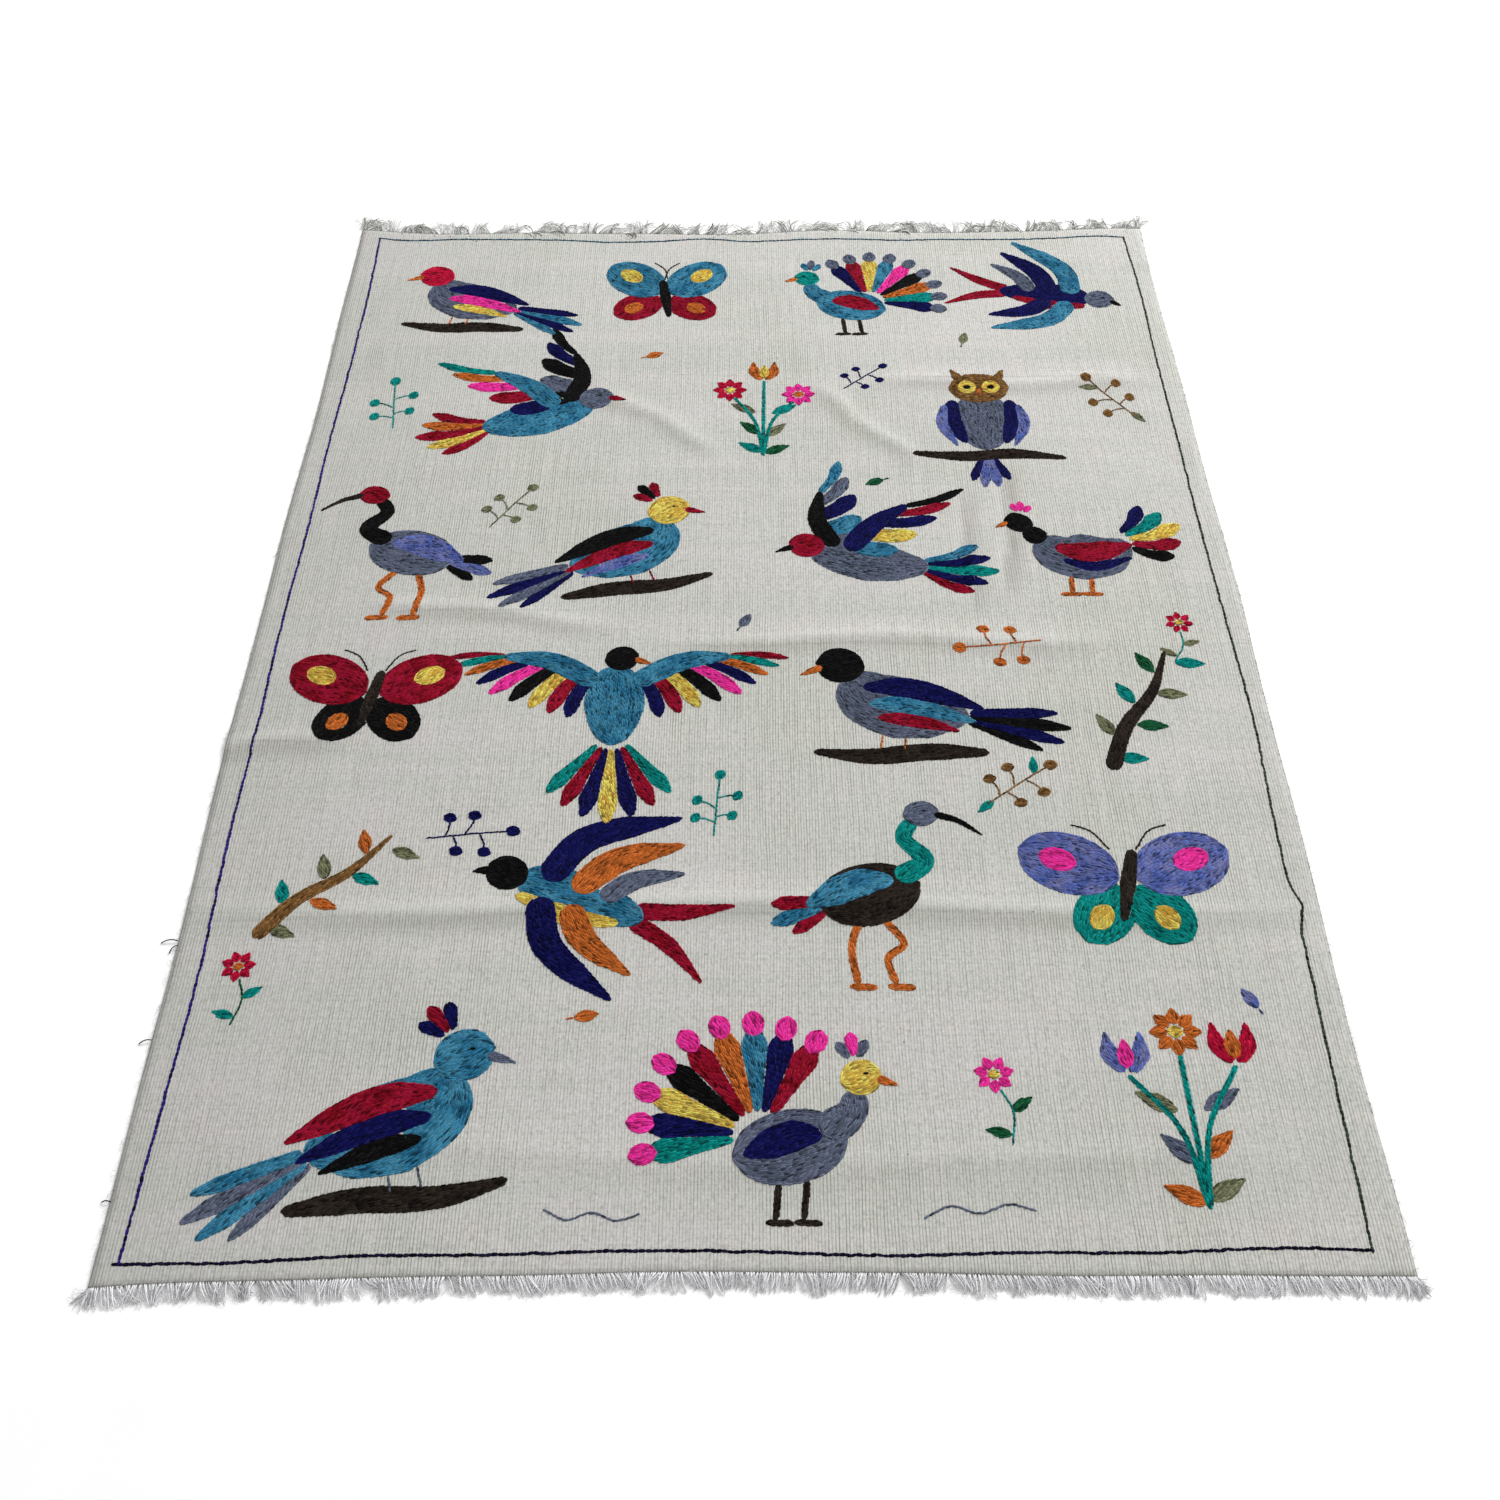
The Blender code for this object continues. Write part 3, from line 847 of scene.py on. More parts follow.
def bed_mesh(yarn, first_point, first_cell, side):
    """The points and quads of a yarn's beds, and their places in a map of side by side cells."""
    points, quads, maps = [], [], []
    for number, (x, y, z, shown) in enumerate(beds[yarn]):
        long, wide = x.shape
        index = np.arange(long * wide).reshape(long, wide)
        cells = np.stack((index[:-1, :-1], index[1:, :-1], index[1:, 1:], index[:-1, 1:]), axis=-1)[shown]
        used, cells = np.unique(cells, return_inverse=True)
        quads.append(first_point + cells.reshape(-1, 4))
        points.append(np.column_stack((x.ravel(), y.ravel(), z.ravel()))[used])
        share_y, share_x = np.meshgrid(np.linspace(0.1, 0.9, long), np.linspace(0.1, 0.9, wide), indexing="ij")
        cell = first_cell + number
        shares = np.column_stack(((cell % side + share_x.ravel()) / side, (cell // side + share_y.ravel()) / side))
        maps.append(shares[used])
        first_point += len(used)
    if not points:
        return np.zeros((0, 3)), np.zeros((0, 4), int), np.zeros((0, 2))
    return np.vstack(points), np.vstack(quads), np.vstack(maps)


def build_stitches():
    """One piece for each yarn: every stitch is a plump arch of yarn that dips into the cloth at both ends."""
    template, triangles, quads = stitch_template()
    part = template[None, :, 0]
    pieces = []
    for yarn, rows in stitches.items():
        rows = np.array(rows)
        count = len(rows)
        start = rows[:, 0:2]
        run = rows[:, 2:4] - start
        length = np.hypot(run[:, 0], run[:, 1])
        beside = np.column_stack((-run[:, 1], run[:, 0])) / length[:, None]
        reach = template[None, :, 1] * rows[:, 4:5] / 2
        x = start[:, 0:1] + run[:, 0:1] * part + beside[:, 0:1] * reach
        y = start[:, 1:2] + run[:, 1:2] * part + beside[:, 1:2] * reach
        plump = STITCH_RELIEF * (0.8 + 0.4 * random.random(count))[:, None]
        z = top_height(x, y) + template[None, :, 2] * plump
        vertices = np.column_stack((x.ravel(), y.ravel(), z.ravel()))
        side = math.ceil(math.sqrt(count + len(beds[yarn])))
        bed_points, bed_quads, bed_map = bed_mesh(yarn, len(vertices), count, side)
        first = (np.arange(count) * len(template))[:, None, None]
        faces = [(triangles[None] + first).reshape(-1, 3), (quads[None] + first).reshape(-1, 4), bed_quads]
        piece, corners = new_piece("stitches_" + yarn, np.vstack((vertices, bed_points)), faces)

        cell_x = (np.arange(count) % side)[:, None]
        cell_y = (np.arange(count) // side)[:, None]
        map_x = (cell_x + 0.5 + 0.36 * template[None, :, 1]) / side
        map_y = np.broadcast_to((cell_y + 0.14 + 0.72 * part) / side, x.shape)
        bake_map = np.vstack((np.column_stack((map_x.ravel(), map_y.ravel())), bed_map))
        add_map(piece, corners, "OFBake", bake_map[:, 0], bake_map[:, 1])
        turns = (length / YARN_TURN)[:, None] * part + random.random(count)[:, None]
        across = np.broadcast_to(template[None, :, 1], x.shape)
        flat = np.zeros(len(bed_points))
        add_map(piece, corners, "yarn", np.append(turns.ravel(), flat + 0.25), np.append(across.ravel(), flat))
        # Some stitches are painted dark, as shade among their neighbours.
        shaded_stitch = random.random(count) < SHADED_STITCH_SHARE
        tone = np.clip(0.56 + 0.28 * random.normal(size=count) - 0.5 * shaded_stitch, 0, 1)
        # The beds' dark tone is painted shade between the stitches.
        add_tone(piece, np.append(np.repeat(tone, len(template)), flat + BED_SHADE_TONE))
        piece.data.materials.append(yarn_material(yarn))
        pieces.append(piece)
    return pieces


# The motifs' own strokes, in centimetres about the middle of each motif

def band(place, yarn, points, widths):
    """A band of a motif, along a smooth curve through the points."""
    lay_band(yarn, place.on_cloth(points), [width * place.size for width in widths], next(place.layers))


def blob(place, yarn, centre, radii, angle=0.0):
    """A filled oval: its rows run along its long way, at the given angle."""
    turn = math.radians(angle)
    shares = np.linspace(-1, 1, 5)
    points = [(centre[0] + radii[0] * share * math.cos(turn), centre[1] + radii[0] * share * math.sin(turn))
              for share in shares]
    widths = [2 * radii[1] * math.sqrt(max(0.01, 1 - share * share)) for share in np.linspace(-1, 1, 13)]
    band(place, yarn, points, widths)


def line(place, yarn, points):
    """A single row of stitches."""
    lay_band(yarn, place.on_cloth(points), [ROW_PITCH, ROW_PITCH], next(place.layers))


def leaf(place, yarn, base, angle, length, width):
    """A pointed leaf."""
    turn = math.radians(angle)
    tip = (base[0] + length * math.cos(turn), base[1] + length * math.sin(turn))
    band(place, yarn, (base, tip), (0.2 * width, 0.85 * width, width, 0.6 * width, 0.1 * width))


def feather(place, yarn, base, angle, length, widths, bend=0.0):
    """One feather from its base, which may bend to one side. Widths are those of its base and its tip."""
    turn = math.radians(angle)
    ahead = np.array((math.cos(turn), math.sin(turn)))
    beside = np.array((-math.sin(turn), math.cos(turn)))
    base = np.asarray(base, float)
    points = [base, base + ahead * length * 0.5 + beside * bend, base + ahead * length]
    middle = (widths[0] + widths[1]) / 2
    band(place, yarn, points, (widths[0], 0.5 * (widths[0] + middle), middle, widths[1] * 0.9, 0.3 * widths[1]))


def fan(place, yarns, hub, angles, lengths, inner=1.0, bend=0.0, least=1.0):
    """Feathers side by side from a hub, between two angles. Lengths are spread from the first to the last."""
    count = len(yarns)
    step = math.radians(abs(angles[1] - angles[0])) / max(1, count - 1)
    for index, yarn in enumerate(yarns):
        share = index / (count - 1) if count > 1 else 0.5
        angle = angles[0] + (angles[1] - angles[0]) * share
        length = np.interp(share, np.linspace(0, 1, len(lengths)), lengths)
        turn = math.radians(angle)
        base = (hub[0] + inner * math.cos(turn), hub[1] + inner * math.sin(turn))
        widths = (max(least * 0.8, inner * step * 1.1), max(least, (inner + length * 0.8) * step * 1.05))
        feather(place, yarn, base, angle, length, widths, bend)


def wing(place, arm_yarn, yarns, arm, arm_widths, angles, lengths, bend=0.0):
    """A spread wing: an arm band, and feathers side by side that leave it at even places."""
    band(place, arm_yarn, arm, arm_widths)
    curve, reach = smooth_curve(arm, 10)
    count = len(yarns)
    places = reach[-1] * np.linspace(0.10, 0.98, count)
    bases = np.column_stack((np.interp(places, reach, curve[:, 0]), np.interp(places, reach, curve[:, 1])))
    headings = np.linspace(angles[0], angles[1], count)
    step = math.radians(abs(angles[1] - angles[0])) / (count - 1)
    for index, yarn in enumerate(yarns):
        turn = math.radians(headings[index])
        other = index + 1 if index < count - 1 else index - 1
        gap = bases[other] - bases[index]
        apart = abs(gap[0] * math.sin(turn) - gap[1] * math.cos(turn))
        length = np.interp(index / (count - 1), np.linspace(0, 1, len(lengths)), lengths)
        widths = (max(1.0, apart * 1.1), max(1.2, apart + length * step * 0.8))
        feather(place, yarn, bases[index], headings[index], length, widths, bend)


def head(place, yarn, centre, radius, beak_yarn, beak_length, eye_yarn="black"):
    """A round head that faces right, with an eye and a pointed beak."""
    blob(place, eye_yarn, (centre[0] + 0.25 * radius, centre[1] + 0.2 * radius), (0.3, 0.2))
    band(place, beak_yarn, ((centre[0] + 0.75 * radius, centre[1] - 0.05 * radius),
                            (centre[0] + radius + beak_length, centre[1] - 0.4 * radius)),
         (1.3, 0.9, 0.2))
    blob(place, yarn, centre, (radius, radius * 0.92), 15)


# The birds, the butterfly and the plants

def songbird(place, yarns, crest=False, tail_angle=205, perch=True):
    """A small bird that sits on a twig. Yarns: head, body, three wing bands, two tail bands, beak, twig."""
    hood, coat, first, second, third, tail_a, tail_b, beak, twig = yarns
    head(place, hood, (7.0, 5.8), 3.0, beak, 2.0)
    if crest:
        fan(place, (second, first, second), (6.0, 7.4), (150, 100), (3.0, 3.6, 3.2), 1.2)
    band(place, first, ((4.6, 2.2), (-1.5, 1.4), (-9.4, -2.2)), (1.2, 3.0, 3.2, 2.4, 0.5))
    band(place, second, ((4.2, -0.4), (-1.0, -1.2), (-8.2, -4.2)), (1.0, 2.6, 2.6, 1.9, 0.5))
    band(place, third, ((3.4, -2.6), (-0.8, -3.4), (-6.0, -5.4)), (0.8, 2.0, 2.2, 1.4, 0.4))
    band(place, coat, ((-7.5, -3.4), (-1.5, -2.0), (3.4, 0.2), (6.4, 4.2)), (2.0, 7.4, 9.6, 8.6, 4.6))
    fan(place, (tail_a, tail_b, tail_a, tail_b), (-5.2, -2.6), (tail_angle - 14, tail_angle + 14),
        (10.5, 12.0, 11.5, 9.5), 2.4, 0.0, 1.5)
    if perch:
        line(place, beak, ((0.4, -5.6), (0.8, -7.6)))
        line(place, beak, ((3.0, -4.8), (3.6, -7.4)))
    band(place, twig, ((-9.0, -8.8), (-2, -8.2), (5, -8.4), (11.5, -7.2)), (1.0, 2.4, 2.6, 2.1, 0.8))


def flyer(place, yarns, feathers, tail, lift=0):
    """A bird that flies past with both wings up. Yarns: head, body, near arm, far arm, beak."""
    hood, coat, near_arm, far_arm, beak = yarns
    half = len(feathers) // 2
    head(place, hood, (9.4, 3.0), 2.6, beak, 2.0)
    wing(place, near_arm, feathers[:half], ((3.6, 1.6), (-0.5, 6.4), (-6.0, 10.2 + lift)), (3.0, 3.6, 2.8, 1.2),
         (192, 162), (6.5, 9.0, 9.5), 0.5)
    wing(place, far_arm, feathers[half:], ((5.2, 2.4), (7.4, 8.0), (6.4, 14.0 + lift)), (2.6, 3.0, 2.4, 1.0),
         (172, 118), (5.0, 7.5, 7.5), 0.5)
    band(place, coat, ((-7.5, -2.6), (-1, -1.4), (4.6, 0.4), (8.8, 2.6)), (2.4, 6.2, 7.6, 6.4, 4.0))
    fan(place, tail, (-4.4, -2.0), (164, 214), (8.5, 10.5, 8.0), 2.6, 0.5)


def spread_bird(place, yarns, feathers, tail):
    """A bird seen from above with its wings held out. Yarns: head, body, arms, beak."""
    hood, coat, arms, beak = yarns
    head(place, hood, (0.6, 8.2), 2.3, beak, 1.6)
    mirror = place.mirrored()
    for side in (place, mirror):
        wing(side, arms, feathers, ((2.4, 4.0), (8.5, 7.6), (15.0, 8.6)), (3.0, 3.4, 2.8, 1.2),
             (-70, -2), (7.0, 9.5, 8.0), 0.4)
    band(place, coat, ((0, -6.4), (0, -1.5), (0, 3.5), (0, 7.0)), (3.0, 6.4, 8.0, 7.2, 4.2))
    fan(place, tail, (0, -4.0), (232, 308), (9.5, 11.5, 9.5), 3.0)


def wader(place, yarns):
    """A long-legged bird. Yarns: head, neck, body, wing, rump, legs, beak."""
    hood, neck, coat, wing_yarn, rump, legs, beak = yarns
    blob(place, "black", (7.4, 11.9), (0.3, 0.2))
    band(place, beak, ((8.6, 11.4), (11.5, 10.4), (14.4, 8.2)), (1.1, 0.9, 0.6, 0.3))
    blob(place, hood, (7.0, 11.5), (2.3, 1.9), 10)
    band(place, neck, ((3.4, 1.8), (7.0, 4.4), (4.6, 7.8), (6.0, 10.6)), (3.4, 2.6, 2.1, 2.1))
    band(place, wing_yarn, ((3.0, 1.6), (-1.5, 1.0), (-7.6, -2.2)), (1.6, 4.2, 4.0, 1.0))
    blob(place, coat, (0, -0.4), (6.4, 4.4), 14)
    fan(place, (rump, wing_yarn, rump), (-3.6, -1.4), (184, 218), (6.0, 6.6, 5.0), 2.2, 0.0, 1.6)
    band(place, legs, ((-1.4, -4.2), (-2.4, -8.0), (-1.8, -12.6)), (1.0, 0.9, 0.9))
    band(place, legs, ((1.6, -4.0), (3.8, -7.2), (1.8, -9.2), (2.6, -12.6)), (1.0, 0.9, 0.9, 0.9))
    band(place, legs, ((-2.8, -12.9), (0.4, -13.1)), (0.9, 0.9))
    band(place, legs, ((1.6, -12.9), (4.8, -13.1)), (0.9, 0.9))


def fantail(place, yarns, feathers, tips):
    """A bird with its tail raised in a fan behind it. Yarns: head, body, wing, legs, beak."""
    hood, coat, wing_yarn, legs, beak = yarns
    head(place, hood, (8.0, 6.6), 2.2, beak, 1.6)
    fan(place, (coat, tips, coat), (7.4, 8.0), (125, 65), (2.2, 2.8, 2.2), 1.0)
    band(place, coat, ((3.8, 0.4), (6.8, 2.6), (7.4, 5.2)), (4.8, 3.4, 2.6))
    band(place, wing_yarn, ((3.8, 0.2), (0.6, 0.0), (-4.2, -2.0)), (1.4, 3.6, 3.4, 0.8))
    blob(place, coat, (0.6, -1.0), (6.0, 4.0), 12)
    count = len(feathers)
    step = math.radians(130 / (count - 1))
    for index, yarn in enumerate(feathers):
        share = index / (count - 1)
        angle = 60 + 130 * share
        turn = math.radians(angle)
        reach = 13.0 - 2.0 * abs(share - 0.45)
        spot = (-2.6 + reach * math.cos(turn), 0.2 + reach * math.sin(turn))
        blob(place, tips, spot, (1.5, 1.2), angle)
        base = (-2.6 + 2.6 * math.cos(turn), 0.2 + 2.6 * math.sin(turn))
        feather(place, yarn, base, angle, reach - 2.6, (3.0 * step, 11.5 * step))
    for shift in (0, 2.8):
        band(place, legs, ((-0.6 + shift, -4.4), (-1.0 + shift, -8.6)), (0.7, 0.7))
        band(place, legs, ((-2.0 + shift, -8.8), (0.8 + shift, -8.9)), (0.7, 0.7))


def owl(place, yarns):
    """An owl on a branch. Yarns: face, body, wings, wing bars, eyes, branch."""
    face, coat, wings, bars, eyes, branch = yarns
    for side in (-1, 1):
        blob(place, "black", (1.9 * side, 6.4), (0.6, 0.5))
        blob(place, eyes, (1.9 * side, 6.4), (1.5, 1.4))
        band(place, face, ((3.0 * side, 8.0), (4.2 * side, 10.8)), (2.2, 0.4))
        band(place, bars, ((5.8 * side, 2.2), (6.4 * side, -2.4), (4.4 * side, -7.4)), (1.0, 1.9, 1.7, 0.4))
        band(place, wings, ((4.4 * side, 3.4), (4.9 * side, -1.5), (3.0 * side, -6.8)), (1.6, 3.2, 3.0, 0.8))
    band(place, "orange", ((0, 6.0), (0, 4.2)), (1.0, 0.3))
    blob(place, face, (0, 6.2), (4.8, 3.4), 0)
    band(place, coat, ((0, -8.4), (0, -2), (0, 5.0)), (4.0, 8.2, 8.6, 7.0))
    band(place, branch, ((-11.5, -9.2), (-3, -9.8), (4, -9.2), (12, -10.2)), (1.0, 2.2, 2.3, 0.8))
    fan(place, (wings, bars, bars, wings), (0, -7.6), (250, 290), (5.6, 6.6, 6.6, 5.6), 2.6)


def swallow(place, yarns):
    """A swallow in a glide. Yarns: head, back, belly, outer wing, inner wing, tail."""
    hood, back, belly, outer, inner, tail = yarns
    head(place, hood, (8.4, 0.8), 2.3, "black", 1.2)
    band(place, outer, ((4.2, 1.2), (1.8, 7.6), (-6.6, 13.0)), (3.2, 3.4, 2.8, 0.5))
    band(place, inner, ((0.9, 0.8), (-2.0, 5.8), (-8.0, 9.8)), (3.0, 3.4, 2.6, 0.6))
    band(place, "slate", ((-2.2, 0.6), (-4.6, 4.0), (-9.2, 6.4)), (2.4, 2.6, 1.9, 0.5))
    band(place, outer, ((4.0, -1.0), (0.8, -6.2), (-7.2, -9.8)), (3.0, 3.2, 2.6, 0.5))
    band(place, inner, ((0.8, -1.0), (-2.4, -4.4), (-8.0, -6.6)), (2.8, 3.0, 2.2, 0.5))
    band(place, belly, ((6.4, -1.4), (1.0, -2.2), (-4.8, -1.4)), (1.2, 2.2, 0.9))
    band(place, back, ((-7.0, -0.2), (0, 0.2), (7.0, 0.8)), (1.8, 5.4, 5.8, 3.6))
    band(place, tail, ((-5.8, 0.4), (-10.5, 1.8), (-15.4, 4.2)), (2.0, 1.8, 0.4))
    band(place, tail, ((-5.8, -0.6), (-10.5, -2.2), (-15.0, -5.2)), (2.0, 1.8, 0.4))


def hen(place, yarns, tail):
    """A plump ground bird. Yarns: head, body, wing, wing edge, legs, comb."""
    hood, coat, wing_yarn, edge, legs, comb = yarns
    head(place, hood, (9.0, 6.0), 2.3, "orange", 1.4)
    fan(place, (comb, comb, comb), (8.4, 7.6), (125, 60), (1.8, 2.2, 1.8), 1.0)
    band(place, hood, ((5.4, 2.0), (8.2, 4.8)), (4.4, 3.0))
    band(place, edge, ((3.0, -2.0), (-1.6, -3.4), (-7.6, -1.6)), (1.0, 2.0, 1.9, 0.4))
    band(place, wing_yarn, ((4.0, 0.8), (-1.0, -0.4), (-8.0, 1.2)), (1.4, 4.2, 4.0, 0.8))
    band(place, coat, ((-7.6, 1.6), (-3.0, -1.0), (2.8, -0.8), (6.4, 2.6)), (2.4, 8.2, 9.8, 8.0, 4.4))
    fan(place, tail, (-5.0, 1.4), (122, 196), (7.0, 8.8, 6.6), 3.0, 0.6)
    for shift in (0, 3.0):
        band(place, legs, ((-0.8 + shift, -5.4), (-0.6 + shift, -9.0)), (0.8, 0.8))
        band(place, legs, ((-2.2 + shift, -9.2), (1.2 + shift, -9.1)), (0.8, 0.8))


def butterfly(place, yarns):
    """A butterfly. Yarns: body, upper wings, upper spots, lower wings, lower spots."""
    stem, upper, upper_spot, lower, lower_spot = yarns
    band(place, stem, ((0, -4.4), (0, 3.8)), (0.7, 1.5, 1.1))
    for side in (place, place.mirrored()):
        line(side, stem, ((0.3, 3.8), (1.2, 6.2), (2.8, 7.4)))
        blob(side, upper_spot, (5.4, 4.0), (1.8, 1.3), 35)
        blob(side, upper, (4.6, 3.3), (4.8, 3.4), 35)
        blob(side, lower_spot, (3.8, -3.0), (1.4, 1.1), -40)
        blob(side, lower, (3.3, -2.6), (3.6, 2.7), -40)


def berries(place, stem_yarn, berry_yarn, leaf_yarn=None):
    """A curved twig with berries, and leaves if a yarn is given for them."""
    line(place, stem_yarn, ((-6, -3.2), (-2, -1.2), (2, 0.8), (6, 2.6)))
    for base, tip in (((-3.4, -1.9), (-4.2, 1.8)), ((-0.6, -0.5), (-0.6, 3.6)), ((1.6, 0.6), (4.0, -2.4)),
                      ((-2.2, -1.3), (-0.4, -3.8))):
        line(place, stem_yarn, (base, ((base[0] + tip[0]) / 2 + 0.4, (base[1] + tip[1]) / 2), tip))
        blob(place, berry_yarn, tip, (1.15, 1.0))
    blob(place, berry_yarn, (6.6, 2.9), (1.2, 1.1))
    if leaf_yarn:
        leaf(place, leaf_yarn, (3.4, 1.4), 78, 3.8, 1.7)
        leaf(place, leaf_yarn, (-4.6, -2.6), -150, 3.8, 1.7)


def daisy(place, petals, heart, centre, radius, count=8):
    """A round flower with petals about its heart."""
    blob(place, heart, centre, (0.3 * radius, 0.28 * radius))
    for index in range(count):
        angle = 360 * index / count
        turn = math.radians(angle)
        base = (centre[0] + 0.3 * radius * math.cos(turn), centre[1] + 0.3 * radius * math.sin(turn))
        leaf(place, petals, base, angle, 0.72 * radius, 0.62 * radius)


def tulip(place, outer, inner, centre, size):
    """A tulip head that opens upward."""
    x, y = centre
    band(place, inner, ((x, y), (x, y + 3.2 * size)), (1.2 * size, 1.8 * size, 0.3))
    for side in (-1, 1):
        band(place, outer, ((x + 0.3 * side * size, y - 0.4 * size), (x + 1.5 * side * size, y + 1.6 * size),
                            (x + 1.7 * side * size, y + 4.0 * size)), (1.2 * size, 2.0 * size, 0.3))


def flower_plant(place, stem_yarn, leaf_yarns, heads):
    """A plant with three stems, four leaves low on them, and the flower heads given from left to right."""
    tips = ((-6.0, 8.6), (0.2, 12.0), (6.4, 7.4))
    for (kind, first, second), tip in zip(heads, tips):
        if kind == "tulip":
            tulip(place, first, second, tip, 1.15)
        else:
            daisy(place, first, second, tip, 3.0)
        band(place, stem_yarn, ((0, -9.0), (tip[0] * 0.25, 0.0), (tip[0], tip[1] - 0.8)), (0.7, 0.6))
    for index, (base, angle) in enumerate((((-1.4, 2.4), 150), ((1.6, 2.2), 28), ((-0.4, -3.4), 138),
                                           ((0.4, -4.0), 44), ((0.0, -8.0), 152), ((0.0, -8.4), 24))):
        leaf(place, leaf_yarns[index % len(leaf_yarns)], base, angle, 5.0, 2.2)


def leafy_branch(place, bark, leaf_yarns, length=24):
    """A slender branch with leaves on both sides."""
    half = length / 2
    band(place, bark, ((-half, -1.2), (-half / 3, 0.3), (half / 3, -0.3), (half, 1.2)), (2.4, 2.2, 1.6, 0.6))
    count = 7
    for index in range(count):
        x = -half * 0.8 + 1.7 * half * index / (count - 1)
        side = 1 if index % 2 else -1
        leaf(place, leaf_yarns[index % len(leaf_yarns)], (x, 0.9 * side), 62 * side, 4.4, 2.1)


def small_flower(place, petals, heart, stem_yarn, leaf_yarn):
    """A single flower on a bent stem with two leaves."""
    daisy(place, petals, heart, (0, 4.4), 2.4, 7)
    line(place, stem_yarn, ((0.2, 2.4), (0.8, -0.8), (-0.6, -4.6)))
    leaf(place, leaf_yarn, (0.6, -0.6), 24, 3.2, 1.5)
    leaf(place, leaf_yarn, (-0.2, -3.4), 156, 3.2, 1.5)


def draw_motifs():
    """Every motif in its place: rows of four and of three, each row shifted against the next."""
    # far row
    songbird(Place(-0.545, 1.925, 1.16, 0, "left"),
             ("rose", "slate", "navy", "pink", "yellow", "navy", "steel", "orange", "bark"))
    butterfly(Place(-0.17, 1.925, 1.45, 8), ("black", "steel", "yellow", "crimson", "orange"))
    fantail(Place(0.20, 1.91, 1.14, 0, "left"), ("teal", "steel", "crimson", "bark", "orange"),
            ("navy", "crimson", "yellow", "steel", "pink", "black", "orange", "teal", "navy"), "slate")
    swallow(Place(0.575, 1.93, 1.26, -12, "right"), ("slate", "navy", "crimson", "steel", "navy", "crimson"))
    # second row
    flyer(Place(-0.40, 1.575, 1.22, 4, "right"), ("slate", "steel", "steel", "black", "crimson"),
          ("navy", "crimson", "pink", "orange", "teal", "black", "slate", "black", "navy", "black"),
          ("crimson", "orange", "crimson", "yellow", "crimson"))
    flower_plant(Place(0.02, 1.555, 1.02, 0), "teal", ("sage", "teal", "green"),
                 (("daisy", "rose", "yellow"), ("tulip", "orange", "yellow"), ("daisy", "pink", "orange")))
    owl(Place(0.42, 1.575, 1.16, 0), ("tan", "slate", "navy", "lavender", "yellow", "bark"))
    # third row
    wader(Place(-0.575, 1.225, 1.18, 0, "left"), ("crimson", "black", "slate", "lavender", "black", "orange", "bark"))
    songbird(Place(-0.22, 1.24, 1.24, 8, "right"),
             ("yellow", "steel", "black", "crimson", "lavender", "slate", "navy", "crimson", "bark"), True)
    flyer(Place(0.205, 1.21, 1.18, -4, "left"), ("crimson", "slate", "navy", "black", "black"),
          ("steel", "yellow", "navy", "crimson", "black", "slate", "steel", "navy", "slate", "steel"),
          ("steel", "navy", "teal", "navy", "crimson"))
    hen(Place(0.555, 1.225, 1.10, 0, "left"), ("black", "slate", "crimson", "navy", "orange", "pink"),
        ("navy", "teal", "yellow", "crimson", "black"))
    # fourth row
    butterfly(Place(-0.595, 0.905, 1.42, -10), ("bark", "crimson", "yellow", "black", "orange"))
    spread_bird(Place(-0.215, 0.885, 1.20, 0), ("black", "steel", "steel", "orange"),
                ("navy", "crimson", "yellow", "black", "pink", "navy", "orange", "teal", "crimson"),
                ("teal", "crimson", "navy", "yellow", "navy", "crimson", "teal"))
    songbird(Place(0.235, 0.90, 1.30, -4, "left"),
             ("black", "slate", "navy", "steel", "crimson", "navy", "black", "orange", "bark"), False, 198)
    leafy_branch(Place(0.60, 0.88, 1.10, 58), "bark", ("teal", "sage", "green"))
    # fifth row
    leafy_branch(Place(-0.61, 0.555, 1.0, 40), "tan", ("sage", "teal", "orange"))
    swallow(Place(-0.245, 0.53, 1.38, 18, "left"), ("black", "steel", "yellow", "navy", "orange", "crimson"))
    wader(Place(0.165, 0.545, 1.18, 0, "right"), ("slate", "teal", "bark", "steel", "crimson", "orange", "black"))
    butterfly(Place(0.535, 0.56, 1.55, -14), ("bark", "lavender", "pink", "teal", "yellow"))
    # near row
    flower_plant(Place(0.565, 0.185, 1.16, 0, "left"), "teal", ("slate", "sage", "orange"),
                 (("tulip", "rose", "orange"), ("daisy", "orange", "yellow"), ("tulip", "lavender", "pink")))
    songbird(Place(-0.47, 0.205, 1.36, 4, "right"),
             ("steel", "steel", "crimson", "navy", "black", "steel", "slate", "slate", "bark"), True, 212)
    fantail(Place(0.04, 0.175, 1.26, 0, "right"), ("yellow", "slate", "navy", "bark", "orange"),
            ("crimson", "navy", "steel", "orange", "crimson", "black", "yellow", "navy", "teal"), "pink")
    draw_fillers()


